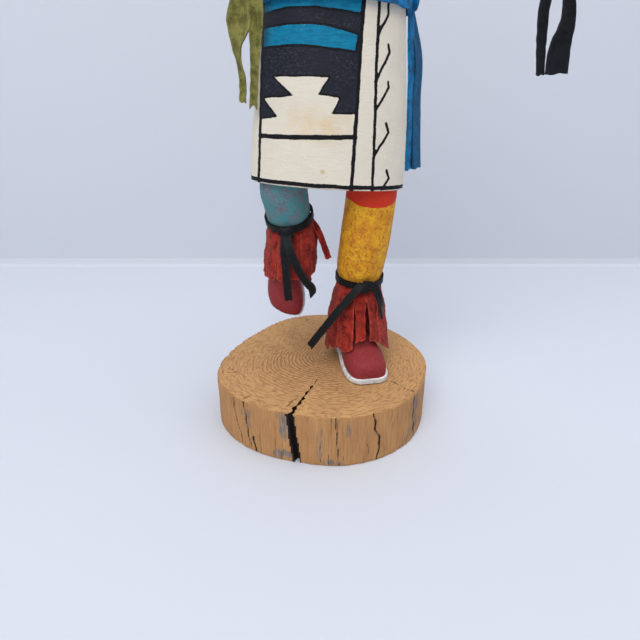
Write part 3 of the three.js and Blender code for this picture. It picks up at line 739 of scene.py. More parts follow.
def upper_rings(count=64, around=72):
    away, middle, wide, tall = smooth(FOOT_ROWS, np.linspace(0, 1, count)).T[:, :, None]
    angle = full_turn(around)
    c, s = np.cos(angle), np.sin(angle)
    waist = 0.36 * tall
    rise = np.where(s > 0, (tall - waist) * s, -waist * np.abs(s) ** 0.45)
    across = middle + wide * np.sign(c) * np.abs(c) ** 0.85
    return np.stack([across, -away + 0 * across, waist + rise + 0.6], -1)


def sole_rings(count=90):
    away, middle, wide, _ = smooth(FOOT_ROWS, np.linspace(0, 1, count)).T
    end = away / FOOT_LONG * 2 - 1
    reach = wide + 0.9 * (1 - end**8 / 2)
    left = np.column_stack([middle - reach, -away - 0.9 * end])
    right = np.column_stack([middle + reach, -away - 0.9 * end])
    outline = np.vstack([left, right[::-1]])
    centre = outline.mean(0)
    rows = ((0.97, 0), (1, 0.35), (1, 1.3), (0.995, 2.3), (0.965, 2.6))
    rings = np.stack([np.column_stack([centre + (outline - centre) * share, np.full(len(outline), z)])
                      for share, z in rows])
    rings[..., :2] += 0.12 * rough(rings, 1.6)[..., None]
    return rings


def turned(rings, tip, swing, place, scale=(1, 1, 1), askew=0.0):
    """A foot turned about X by tip and about Z by swing, then moved. askew draws its toe out on one side."""
    x, y, z = np.moveaxis(rings * np.array(scale), -1, 0)
    y = y - askew * x * np.clip(-y / 20 - 0.6, 0, 1)
    a, b = math.radians(tip), math.radians(swing)
    x, y = x * math.cos(b) - y * math.sin(b), x * math.sin(b) + y * math.cos(b)
    y, z = y * math.cos(a) - z * math.sin(a), y * math.sin(a) + z * math.cos(a)
    return np.stack([x, y, z], -1) + place


def plain_paint(name, clouds, light, dark, grain, depth, worn=None, long=1, roughness=0.6):
    """Brushed paint of two close tones in clouds. worn is what spots() and over() take where it is rubbed."""
    coat = Finish(name, roughness=roughness)
    base = coat.mix(coat.noise(clouds, 3), light, dark)
    if worn:
        low, high, size, strength, tone = worn
        base = coat.over(coat.spots(low, high, size, 4), strength, base, tone)
    return coat.done(base, coat.noise(*grain, at=coat.stretch(1, 1, long)), depth)


def sole_paint():
    white = Finish("white sole paint", roughness=0.6)
    base = white.mix(white.spots(0.4, 0.75, 2.5, 4), colour(226, 226, 226), colour(182, 184, 192))
    rubbed = white.spots(0.62, 0.72, 1.2, 3)
    base = white.over(rubbed, 0.4, base, colour(176, 160, 138))
    return white.done(base, white.noise(0.8, 4), 0.2)


# %% Make both feet
maroon = plain_paint("maroon moccasin paint", 7, colour(146, 52, 54), colour(128, 40, 46), (1.1, 4), 0.2,
                     worn=(0.5, 0.7, 1.4, 0.5, colour(152, 66, 66)))
sole_white = sole_paint()
FEET = {
    "standing": (STANDING_ANKLE, dict(tip=0, swing=9.5, place=on_base(13.6, 17.2, 0.3))),
    "lifted": (LIFTED_ANKLE, dict(tip=76, swing=-4, place=on_base(-18.8, 11.6, 62.4),
                                  scale=(0.9, 0.84, 0.96),
                                  askew=0.28)),
}
for which, (ankle, how) in FEET.items():
    upper = Shape().skin(turned(upper_rings(), **how)).skin(limb_rings(ankle))
    upper.build(f"{which}_moccasin", maroon, "figure")
    Shape().skin(turned(sole_rings(), **how)).build(f"{which}_sole", sole_white, "figure", sharp=50)

# %% [markdown]
# ## Trunk, head and arms
# The trunk is bare and painted, and the head is a case mask: a round-topped cylinder with a short snout,
# two narrow eyes and flat red ears. It is plain and calm, and stands for nobody.

# %% The trunk
CHEST_ROWS = ((70, 23.5, 17.5), (84, 24, 17), (100, 26.5, 17.8), (118, 28.5, 18), (130, 26.5, 16.5),
              (137, 19, 13.5),
              (142, 11.5, 11), (152, 10.5, 10.5))
HEAD_FOOT = 148


rings = trunk_rings(CHEST_ROWS, 120, 160)
rings[..., :2] *= 1 + 0.004 * rough(rings, 8)[..., None]
ochre = plain_paint("red ochre body paint", 9, colour(168, 66, 42), colour(146, 54, 36), (0.8, 3), 0.05,
                    worn=(0.62, 0.75, 2.4, 0.3, colour(196, 108, 70)), long=5, roughness=0.62)
Shape().skin(lean(rings)).build("trunk", ochre, "figure")

# %% The mask's form
MASK_PROFILE = ((0.5, 0), (12, 0), (19.5, 0.2), (20.9, 2.2), (21.3, 8), (21.4, 22), (20.6, 36),
                (17.6, 45), (11, 50), (0.5, 51))
EYE_HEIGHT, CAP_LINE, CHIN_LINE, FACE_RADIUS = 31, 39, 5.6, 21


def lathe_rings(profile, count, around, place):
    row = smooth(profile, np.linspace(0, 1, count))
    angle = full_turn(around)
    spoke = np.column_stack([np.cos(angle), np.sin(angle), np.zeros(around)])
    return row[:, 0, None, None] * spoke + row[:, 1, None, None] * np.array([0, 0, 1]) + place


def mask_paint():
    face = Finish("mask paint", roughness=0.6)
    base = face.mix(face.noise(8, 3), colour(70, 150, 150), colour(58, 134, 138))
    base = face.mix(face.fade(face.mark("band"), -0.1, 0.1), base, colour(196, 60, 42))
    base = face.mix(face.fade(face.mark("cream"), -0.1, 0.1), base, colour(234, 226, 208))
    base = face.mix(face.fade(face.mark("black"), -0.1, 0.1), base, colour(32, 32, 38))
    brush = face.noise(0.8, 3, at=face.stretch(4, 4, 1))
    return face.done(base, brush, 0.05)


# %% Paint the mask
mask_rings = lathe_rings(MASK_PROFILE, 150, 260, (0, 0, HEAD_FOOT))
mask = Shape().skin(lean(mask_rings)).build("mask", mask_paint(), "figure", sharp=60)
at = np.vstack([mask_rings.reshape(-1, 3), mask_rings[0].mean(0), mask_rings[-1].mean(0)])
around_front = np.arctan2(at[:, 0], -at[:, 1]) * FACE_RADIUS
spread = np.column_stack([around_front, at[:, 2] - HEAD_FOOT])
eyes = [stroke(spread, [(side * 6, EYE_HEIGHT), (side * 12.5, EYE_HEIGHT)], 3.2) for side in (-1, 1)]
borders = [0.5 - abs(spread[:, 1] - line) for line in (CAP_LINE, CHIN_LINE)]
paint(mask, "black", np.max([*eyes, *borders], axis=0))
paint(mask, "cream", spread[:, 1] - CAP_LINE)
paint(mask, "band", CHIN_LINE - spread[:, 1])

# %% Snout and ears
def disc_rings(radius, thick, around=64):
    """A coin on the YZ plane with softened edges, from -thick/2 to thick/2 along X."""
    angle = full_turn(around)
    rows = ((0.86, -0.5), (0.97, -0.46), (1, -0.3), (1, 0.3), (0.97, 0.46), (0.86, 0.5))
    return np.stack([np.column_stack([np.full(around, t * thick), radius * s * np.cos(angle),
                                      radius * s * np.sin(angle)])
                     for s, t in rows])


ear_red = plain_paint("ear paint", 4, colour(190, 58, 42), colour(170, 48, 36), (0.8, 3), 0.05)
for name, side in (("right_ear", -1), ("left_ear", 1)):
    ear = disc_rings(8, 3.2) + (side * 22, 0, HEAD_FOOT + 27)
    Shape().skin(lean(ear)).build(name, ear_red, "figure")
SNOUT = [(0, y, HEAD_FOOT + 15, radius) for y, radius in ((-17.5, 5.4), (-23, 5.1), (-27.6, 4.8),
                                                          (-28.9, 4.3))]
rows = smooth(SNOUT, np.linspace(0, 1, 30))
angle = full_turn(48)
spokes = np.column_stack([np.cos(angle), 0 * angle, np.sin(angle)])
snout = rows[:, None, :3] + rows[:, 3, None, None] * spokes
Shape().skin(lean(snout)).build("snout", ear_red, "figure")

# %% [markdown]
# ## Arms
# Each arm was carved apart and glued on at the shoulder. A fist is a rounded block with the fingers
# carved as shallow grooves across its front, and a hole through it for the strips of suede.

# %% Arm and fist
RIGHT_ARM = ((-22, 0, 126, 7.6), (-33, 1, 121, 8.4), (-42, 3.5, 110, 7.4), (-45, 3, 98, 6.6),
             (-41, -5, 89, 5.9),
             (-36, -10.5, 81, 5.2))
LEFT_ARM = ((22, 0, 126, 7.6), (34, 0, 121, 8.4), (46, 1, 112, 7.4), (56, 1, 104.5, 6.7),
            (66, -3, 98.5, 6),
            (76, -7, 92.5, 5.2))
RIGHT_FIST, LEFT_FIST = (lean(np.array(at)) for at in ((-34, -12, 78.0), (79.5, -8.5, 89.5)))
FIST = np.array((6.6, 6.2, 7.2))


def fist_rings(centre):
    up = np.linspace(-np.pi / 2 + 0.05, np.pi / 2 - 0.05, 60)[:, None]
    angle = full_turn(72)[None]
    ball = np.stack([np.cos(up) * np.cos(angle), np.cos(up) * np.sin(angle), np.sin(up) + 0 * angle], -1)
    groove = np.cos(ball[..., 2] * 2.4 * np.pi) ** 8
    front = np.clip(-ball[..., 1] * 1.5 + 0.2, 0, 1)
    return centre + ball * FIST * (0.985 - 0.07 * groove * front)[..., None]


def arm(name, stops, fist, material):
    placed = [(*lean(np.array(stop[:3], float)), stop[3]) for stop in stops]
    shape = Shape("band").skin(round_rings(placed, 90, 64), band=OUTSIDE).skin(fist_rings(fist),
                                                                               band=OUTSIDE)
    return shape.build(name, material, name)


arm("right_arm", RIGHT_ARM, RIGHT_FIST, turquoise)
arm("left_arm", LEFT_ARM, LEFT_FIST, yellow)

# %% [markdown]
# ## Suede and lace
# The strips are real leather, cut with a knife: flat, a little wavy, fuzzy on both faces and paler where
# they were cut. One helper makes any strip from a few stops, and marks its edges so that its finish can
# pale them.

# %% A flat strip
def strip_rings(stops, thick, steps, columns=8, cup=0.0, fray=0.12, tip=None, seed=0.0):
    """Flat sections along a line. A stop is [place, width, the way its face looks]."""
    rows = smooth([[*at, wide, *face] for at, wide, face in stops], np.linspace(0, 1, steps))
    middle, wide, face = rows[:, :3], rows[:, 3], rows[:, 4:]
    ahead = unit(np.gradient(middle, axis=0))
    side = unit(np.cross(ahead, face))
    out = -np.cross(ahead, side)
    share = np.linspace(-1, 1, columns)
    grain = np.column_stack([middle[:, 2], wide * 0, wide * 0])
    ragged = [fray * rough(grain, 1.1, seed + k) for k in (0, 9)]
    half = wide[:, None] / 2 + np.where(share < 0, ragged[0][:, None], ragged[1][:, None])
    lift = cup * (share**2 - 0.4) + 0.1 * rough(grain, 4, seed)[:, None]
    sheet = middle[:, None] + side[:, None] * (half * share)[..., None] + out[:, None] * lift[..., None]
    if tip:
        late = np.clip(np.linspace(0, 1, steps) * 6 - 5, 0, 1)[:, None]
        sheet += ahead[:, None] * (late * tip(share))[..., None]
    over = sheet + out[:, None] * thick / 2
    under = sheet - out[:, None] * thick / 2
    return np.concatenate([over, under[:, ::-1]], axis=1)


def edge_marks(rings):
    """1 on a strip's cut edges and ends, and 0 on its faces."""
    count, around = rings.shape[:2]
    columns = around // 2
    share = np.abs(np.linspace(-1, 1, columns))
    across = np.clip(share * 5 - 4, 0, 1)
    marks = np.broadcast_to(np.concatenate([across, across]), (count, around)).copy()
    marks[-1] = 1
    return marks


def lay(shape, rings, tint=1, **marks):
    """Adds a strip to a shape, with its cut edges marked."""
    shape.skin(rings, flat_ends=True, edge=edge_marks(rings) * tint, **marks)


def straight(share):
    return 0.25 * np.sin(5 * share)


def slanted(share):
    return 1.3 * share


def swallow(share):
    return 1.8 * np.abs(share) - 1


def pointed(share):
    return -2.6 * (share - 0.7) ** 2 + 1.2


# %% The finish of suede
def suede(name, tone, dark, pale, fuzz=0.5):
    soft = Finish(name, roughness=0.96, gloss=0.08, Sheen_Weight=0.08, Sheen_Roughness=0.6)
    base = soft.mix(soft.spots(0.36, 0.66, 3.4, 3), tone, dark)
    nap = soft.noise(0.4, 4, 0.7)
    base = soft.over(soft.fade(nap, 0.46, 0.66), fuzz, base, dark)
    brushed = soft.spots(0.54, 0.74, 0.55, 3, at=soft.stretch(1, 1, 2.5))
    base = soft.over(brushed, 0.35, base, pale)
    rub = soft.times(soft.mark("edge"), soft.spots(0.35, 0.6, 0.8, 3))
    base = soft.over(rub, 0.65, base, pale)
    # Painted shade: where a piece carries this mark, the suede is darkened towards its dark tone. Only the
    # sash's rear tail carries it.
    base = soft.mix(soft.mark("shade"), base, dark)
    return soft.done(base, nap, 0.5)


red_suede = suede("red suede", colour(174, 50, 38), colour(104, 16, 14), colour(212, 96, 74))
blue_suede = suede("blue suede", colour(0, 132, 200), colour(0, 74, 110), colour(20, 152, 212), fuzz=0.25)
green_suede = suede("olive suede", colour(146, 142, 76), colour(88, 86, 38), colour(168, 162, 100),
                    fuzz=0.6)
black_suede = suede("black suede", colour(20, 21, 31), colour(6, 7, 12), colour(46, 46, 58))


# %% The finish of the laces
def lace_leather():
    leather = Finish("black lace leather", roughness=0.55, gloss=0.2)
    base = leather.mix(leather.noise(2, 3), colour(17, 19, 22), colour(6, 7, 9))
    worn = leather.spots(0.56, 0.72, 1.1, 4)
    base = leather.over(worn, 0.5, base, colour(44, 51, 58))
    base = leather.over(leather.mark("edge"), 0.2, base, colour(60, 66, 74))
    return leather.done(base, leather.noise(0.5, 4), 0.2)


lace_black = lace_leather()

# %% [markdown]
# ## The anklets
# Each anklet is one piece of suede cut into strips below the lace that holds it. Every strip starts under
# the lace, and spreads over the moccasin. A loop places them by their angle round the leg, and a few have
# their own ends.

# %% Ties: the ring that each lace makes
TIES = {
    "left": dict(at=np.array(on_base(17.7, 2.7, 45.6)), axis=unit((0.03, -0.1, 1)), radius=8.9),
    "right": dict(at=np.array(on_base(-16.3, 0.4, 76.2)), axis=unit((-0.12, -0.42, 1)), radius=8.3),
}
SUEDE, GAP = 0.9, 0.3


def on_tie(tie, angle, out, height):
    """A place by its angle round a tie, its distance from the axis and its height over the ring."""
    axis = tie["axis"]
    turn = np.cross((0, 0, 1), axis)
    c = axis[2]
    k = np.array([[0, -turn[2], turn[1]], [turn[2], 0, -turn[0]], [-turn[1], turn[0], 0]])
    matrix = np.eye(3) + k + k @ k / (1 + c)
    local = np.stack([out * np.cos(angle), out * np.sin(angle), height + 0 * np.asarray(angle)], -1)
    return local @ matrix.T + tie["at"]


def band_rings(tie, inner, thick, tall, around=96, seed=0.0):
    """A flat ring round a tie's axis, as closed sections."""
    angle = full_turn(around)
    wave = 0.12 * np.sin(3 * angle + seed)
    corners = ((0, -0.5), (1, -0.5), (1, 0.5), (0, 0.5))
    return np.stack([on_tie(tie, angle, inner + thick * r, tall * h + wave) for r, h in corners], 1)


def add_ring(shape, rings):
    """Joins a band's sections end to end, with no ends to close."""
    count, around = rings.shape[:2]
    first = len(shape.points)
    shape.points += rings.reshape(-1, 3).tolist()
    for i in range(count):
        for j in range(around):
            a, b = first + i * around + j, first + i * around + (j + 1) % around
            c, d = (first + (i + 1) % count * around + (j + 1) % around,
                    first + (i + 1) % count * around + j)
            shape.faces.append((a, b, c, d))
    for values in shape.marks.values():
        values += [0.0] * (count * around)


# %% Where each anklet's suede hangs
def standing_hem(angle):
    """The ends of the standing anklet's strips, short over the instep, and how far they bow out."""
    off = (np.degrees(angle) - 280 + 180) % 360 - 180
    height = 6.8 + 11 * np.exp(-((off / 42) ** 2))
    end = np.stack([17.9 + 16.3 * np.cos(angle), 3.2 + 19.6 * np.sin(angle), TOP + height], -1)
    return end, 1 - 0.5 * np.cos(angle)


def lifted_hem(angle):
    """The same for the lifted anklet, which passes over the heel at the back."""
    c, s = np.cos(angle), np.sin(angle)
    back = np.maximum(0, s)
    end = np.stack([-16.9 + (12.3 + 3.6 * back) * c, 2.2 + 16.2 * s, TOP + 48 + 0 * c], -1)
    return end, 0.6 + 0.6 * c + 3 * back


def hang(tie, hem, angle, share):
    """Places on the suede at one share of the way down, by their angles round the leg."""
    under = tie["radius"] + GAP + SUEDE / 2
    end, bow = hem(angle)
    out = np.stack([np.cos(angle), np.sin(angle), 0 * angle], -1)
    freed = on_tie(tie, angle, under + 0.8, -2.7)
    spread = freed + (end - freed) * 0.4 + bow[:, None] * out
    stops = np.stack([on_tie(tie, angle, under, -0.6), freed, spread, end])
    return smooth(stops.reshape(4, -1), [share]).reshape(len(angle), 3)


# %% A strip of the suede, joined to its neighbours above its slits
STRIPS = 13
STEP = 2 * np.pi / STRIPS


def cut_strip(tie, hem, middle, slit, narrow, reach, lift, sway, tip, seed, steps=48, columns=11):
    """A strip is full width down to slit, then narrower, freer and frayed. reach is its length's share."""
    sheet = np.zeros((steps, columns, 3))
    share = np.linspace(0, 1, steps)
    free = np.clip((share * reach - slit) / (1 - slit), 0, 1)
    for i, (t, loose) in enumerate(zip(share * reach, free)):
        half = STEP / 2 * (1.03 - (1.03 - narrow) * min(1, 2.5 * loose))
        frays = [0.012 * loose**0.3 * rough((t * 30, seed + side, 0), 0.9) for side in (0, 5)]
        across = np.linspace(-half + frays[0], half + frays[1], columns)
        sheet[i] = hang(tie, hem, middle + sway * loose**1.4 + across, t)
    out = unit(np.cross(np.gradient(sheet, axis=1), np.gradient(sheet, axis=0)))
    out *= np.sign(np.sum(out * (sheet - tie["at"]) * (1, 1, 0), axis=-1, keepdims=True))
    pleats = 0.4 * rough(sheet, 3.6, 2) * np.clip(share * 4, 0, 1)[:, None]
    cup = (np.linspace(-1, 1, columns) ** 2 - 0.4)[None] * -0.45 * free[:, None]
    sheet += out * (pleats + cup + (lift * (0.15 + 0.85 * free))[:, None])[..., None]
    ends = np.clip(share * 8 - 7, 0, 1)[:, None] * tip(np.linspace(-1, 1, columns))
    sheet += unit(np.gradient(sheet, axis=0)) * ends[..., None]
    return np.concatenate([sheet + out * SUEDE / 2, (sheet - out * SUEDE / 2)[:, ::-1]], axis=1)


# %% Make the anklets
def anklet(name, tie, hem, first, slit, narrow, lifts, stray=None):
    """narrow and lifts hold a value for each strip, from the first one's angle on round the leg."""
    shape = Shape("edge", "shade")
    for i in range(STRIPS):
        middle = math.radians(first) + STEP * i
        if stray and i == 0:
            rings = strip_rings(stray, SUEDE, 46, cup=-0.35, tip=straight)
        else:
            tip = (straight, slanted, straight, pointed)[i % 4]
            reach, sway = 0.98 + 0.02 * math.sin(2.4 * i), 0.05 * math.sin(3.7 * i)
            rings = cut_strip(tie, hem, middle, slit, narrow[i], reach, lifts[i], sway, tip, 3.0 * i)
        marks = edge_marks(rings)
        marks[: int(slit * len(marks))] *= 0.2
        shape.skin(rings, flat_ends=True, edge=marks)
    add_ring(shape, band_rings(tie, tie["radius"] + GAP, SUEDE, 2))
    return shape.build(name, red_suede, name, sharp=50)


STRAY_AT = math.radians(8)
STRAY_LOOK, STRAY_WIDE = math.radians(-62), (3.8, 3.4, 3, 2.9)
stray_out, stray_face = ([math.cos(turn), math.sin(turn), 0] for turn in (STRAY_AT, STRAY_LOOK))
under = TIES["right"]["radius"] + GAP + SUEDE / 2
stray_end = np.array(on_base(2.3, 2, 54.8))
stray_freed = on_tie(TIES["right"], STRAY_AT, under + 0.8, -2.7)
stray_bend = stray_freed + (stray_end - stray_freed) * 0.4 + 0.7 * np.array(stray_out)
stray_places = (on_tie(TIES["right"], STRAY_AT, under, -0.6), stray_freed, stray_bend, stray_end)
stray = [(at, wide, stray_out if k < 2 else stray_face)
         for k, (at, wide) in enumerate(zip(stray_places, STRAY_WIDE))]

LEFT_NARROW = (0.62, 1.3, 0.9, 0.8, 0.85, 0.75, 0.8, 0.7, 0.85, 0.8, 0.9, 1.12, 0.62)
LEFT_LIFT = (-0.1, 0.8, 0.1, 0.6, 0, 0.5, 0.1, 0.7, 0, 0.5, -0.1, 0.9, 0.2)
RIGHT_NARROW = (0.5, 0.75, 0.85, 0.8, 0.85, 0.8, 0.9, 0.85, 1.0, 1.0, 1.0, 1.0, 0.9)
RIGHT_LIFT = (0, 0.3, 0, 0.5, 0, 0.5, 0.1, 0.6, 0.1, 0.6, 0.1, 0.5, 0.1)
left_suede = anklet("left_anklet", TIES["left"], standing_hem, 297, 0.5, LEFT_NARROW, LEFT_LIFT)
right_suede = anklet("right_anklet", TIES["right"], lifted_hem, 8, 0.42, RIGHT_NARROW, RIGHT_LIFT, stray)


# %% [markdown]
# Each anklet was one flared piece of suede before it was tied on. Its top edge goes once round the leg
# under the lace, so that is the ring's girth. Its lower edge is the girth that the strips' ends cover,
# less the gaps between them. These sizes are reasoned from the leg and the drop.

# %% Say what the suede was before it was tied on
LEFT_TOP, LEFT_HEM, LEFT_DROP = 61, 96, 42
RIGHT_TOP, RIGHT_HEM, RIGHT_DROP = 57, 81, 32


def flared(piece, top, hem, drop):
    """Prints the size a piece of suede was cut to: top wide above and hem wide below, in millimetres."""
    print(piece.name, "was cut", top, "to", hem, "mm wide and", drop, "mm long")


flared(left_suede, LEFT_TOP, LEFT_HEM, LEFT_DROP)
flared(right_suede, RIGHT_TOP, RIGHT_HEM, RIGHT_DROP)


# %% The laces' tails
LACE = 3.7
LEFT_TAILS = (
    ((on_base(17.8, -10.9, 46.4), 3, (-0.3, -0.9, 0.3)), (on_base(14.4, -12.4, 43), LACE,
                                                          (-0.35, -0.85, 0.4)),
     (on_base(5.4, -12.8, 31.4), LACE, (-0.35, -0.85, 0.4)), (on_base(-2.5, -11.4, 19.6), LACE,
                                                              (-0.3, -0.85, 0.45)),
     (on_base(-7.1, -9.5, 12), LACE, (-0.3, -0.8, 0.6))),
    ((on_base(18.4, -10.9, 46.6), 3, (0.1, -1, 0.2)), (on_base(23.4, -10.4, 45), LACE, (0.3, -0.95, 0.1)),
     (on_base(26.8, -10.2, 38), LACE, (0.8, -0.6, 0)), (on_base(28.6, -9.6, 30), LACE, (1, -0.15, 0))),
)
RIGHT_TAILS = (
    ((on_base(-17.4, -12, 70.8), 3, (0, -1, 0.4)), (on_base(-17.8, -15.2, 65), LACE, (0, -1, 0)),
     (on_base(-17.2, -16.4, 52), LACE, (0.1, -1, 0)), (on_base(-16.7, -16, 40.4), LACE, (0.1, -1, 0))),
    ((on_base(-16.8, -12, 70.8), 3, (0, -1, 0.4)), (on_base(-15.4, -15.8, 65.4), LACE, (0, -1, 0)),
     (on_base(-13.2, -16.8, 59), LACE, (-0.1, -1, 0)), (on_base(-9, -15.8, 50.6), LACE, (-0.4, -0.9, 0)),
     (on_base(-5.8, -14.8, 45.8), LACE + 0.5, (-0.5, -0.85, 0.2)),
     (on_base(-5.7, -13.2, 41), 1.6, (-0.7, -0.7, 0.2))),
)


def tie(name, ring, knot, tails):
    """The lace: its ring, two turns of knot, and its tails."""
    shape = Shape("edge")
    radius = ring["radius"] + SUEDE + 4 * GAP
    add_ring(shape, band_rings(ring, radius, 1, 3.1, seed=1.0))
    at = on_tie(ring, math.radians(knot), radius + 1.9, 0)
    for lean_by, lift in ((0.9, 0.35), (-0.8, -0.3)):
        across = [(at + np.array((2.9 * s, -1.3 + 1.4 * s * s, lift + lean_by * s)), 3.6,
                   (0.5 * s, -1, 0.1))
                  for s in (-1, -0.4, 0.4, 1)]
        rings = strip_rings(across, 1.5, 24, cup=-0.5, fray=0.05)
        lay(shape, rings, 0.4)
    for i, stops in enumerate(tails):
        rings = strip_rings(stops, 1, 60, cup=0.12, fray=0.05, tip=(straight, slanted)[i % 2],
                            seed=5.0 * i)
        lay(shape, rings)
    return shape.build(name, lace_black, name, sharp=50)


tie("left_tie", TIES["left"], -88, LEFT_TAILS)
tie("right_tie", TIES["right"], -94, RIGHT_TAILS)

# %% [markdown]
# ## The sash
# A wide strip of blue suede is wrapped round the waist and knotted at the left hip, where its two ends
# hang.

# %% Wrap, knot and ends
BELT_FROM, BELT_TO = (64.2, 27.3, 21.6), (78.5, 26.1, 21.2)
HIP_KNOT = (29.8, 3.5, 70.0)


def sash():
    shape = Shape("edge", "shade")
    angle = np.linspace(-np.pi, np.pi, 200, endpoint=False)
    sections = []
    for grow, share in ((0.3, 0), (0.3, 1), (1.9, 1), (2.05, 0.7), (2.0, 0.35), (1.9, 0)):
        height, wide, deep = np.array(BELT_FROM) + (np.array(BELT_TO) - BELT_FROM) * share
        fold = 0.25 * rough(np.column_stack([angle * 27, angle * 0, angle * 0]), 2.4, share)
        x, y = (wide + grow) * np.cos(angle), (deep + grow) * np.sin(angle)
        sections.append(np.column_stack([x, y, height + fold]))
    add_ring(shape, lean(np.stack(sections, 1)))
    hip = lean(np.array(HIP_KNOT))
    for lean_by in (2.2, -2.0):
        across = [(hip + np.array((1.4 - 1.6 * s * s, 4.6 * s, lean_by * s)), 6.4, (1, 0.5 * s, 0.1))
                  for s in (-1, -0.4, 0.4, 1)]
        rings = strip_rings(across, 1.8, 24, cup=-0.8)
        lay(shape, rings, 0.5)
    tails = (
        ((on_base(32.4, 2.6, 158), 6, (0.9, -0.35, 0)), (on_base(33.4, 2.4, 151), 7, (0.9, -0.4, 0)),
         (on_base(35.8, 2.8, 127), 8, (0.9, -0.42, 0)), (on_base(37.6, 3.2, 96), 9, (0.9, -0.42, 0))),
        ((on_base(32.6, 6, 159), 6, (0.9, -0.2, 0)), (on_base(35.4, 8, 151), 8, (0.86, -0.4, 0)),
         (on_base(38.8, 8.6, 139), 8, (0.86, -0.5, 0)), (on_base(39.6, 8.6, 122), 8.4, (0.84, -0.54, 0)),
         (on_base(42.2, 8.4, 96), 8.4, (0.84, -0.54, 0))),
    )
    # The second tail hangs behind the first and is painted three quarters of the way to the dark tone, as
    # painted shade.
    for i, stops in enumerate(tails):
        rings = strip_rings(stops, SUEDE, 90, cup=0.25, fray=0.1, tip=straight, seed=7.0 * i)
        lay(shape, rings, shade=0.75 * i)
    return shape.build("sash", blue_suede, "sash", sharp=50)


# %% Make the sash
# Once round the waist at full width, then the knot and the two narrower tails.
sash()

# %% [markdown]
# ## What the fists hold
# Each fist holds a bundle of suede strips that goes through it. Above the fist the ends are short.

# %% Green and black strips
FRONT = (0, -1, 0)


def below(hand, x):
    return ((hand[0] + x, hand[1], hand[2] - FIST[2] - 1.6), 3, FRONT)


def above(hand, x, y, rise):
    x0, y0, z0 = hand
    z0 += FIST[2]
    bend = (x0 + x / 3, y0 + y / 3, z0 + rise / 2)
    return ((x0, y0, z0 + 1), 3, FRONT), (bend, 4, FRONT), ((x0 + x, y0 + y, z0 + rise), 2.4, FRONT)


GREEN = (
    ((below(RIGHT_FIST, -0.4), (on_base(-31, -12, 156), 5.6, FRONT),
      (on_base(-31.5, -11.6, 149), 9.6, (-0.3, -1, 0)),
      (on_base(-32.8, -12, 142), 4.6, (-0.5, -0.9, 0)), (on_base(-32.2, -12, 136), 2.6, (-0.8, -0.6, 0)),
      (on_base(-31.5, -12, 130.5), 2.6, (-0.3, -1, 0)), (on_base(-32.1, -12, 123), 2.6, (-0.3, -1, 0))),
      straight),
    ((below(RIGHT_FIST, 0.6), (on_base(-25.2, -12.6, 154.5), 5.8, FRONT),
      (on_base(-26.5, -12.6, 136), 3.3, FRONT),
      (on_base(-28, -12.6, 121.2), 3, FRONT)), swallow),
    (above(RIGHT_FIST, -5, -3, 12), slanted),
    (above(RIGHT_FIST, 4, -5, 14), slanted),
)
BLACK = (
    ((below(LEFT_FIST, -0.8), (on_base(80, -8.5, 156), 3.8, FRONT), (on_base(80.9, -8.5, 146), 3.6, FRONT),
      (on_base(83.2, -8.5, 132.4), 2.8, FRONT)), straight),
    ((below(LEFT_FIST, 0.8), (on_base(89.6, -8, 152), 5, FRONT), (on_base(88.9, -8, 141.5), 8, FRONT),
      (on_base(89.6, -8, 132.8), 8.6, FRONT)), straight),
    (above(LEFT_FIST, 4, -4, 11), slanted),
    (above(LEFT_FIST, -4, 2, 13), slanted),
)


def held(name, hand, strips, material):
    shape = Shape("edge")
    bundle = [(*(hand + np.array((0, 0, z))), 2) for z in (-9.7, -5, 0, 5, 9.7)]
    shape.skin(round_rings(bundle, 20, 24))
    for i, (stops, tip) in enumerate(strips):
        rings = strip_rings(stops, SUEDE, 70, cup=0.2, fray=0.1, tip=tip, seed=4.0 * i)
        lay(shape, rings)
    return shape.build(name, material, name, sharp=50)


held("green_suede", RIGHT_FIST, GREEN, green_suede)
held("black_suede", LEFT_FIST, BLACK, black_suede)

# %% [markdown]
# ## Ruff and crest
# The ruff is a thick collar of tufts under the mask, and the crest three carved feathers in a slot on
# top. Both repeat one form, so Geometry Nodes set copies of it round a circle and along a fan.

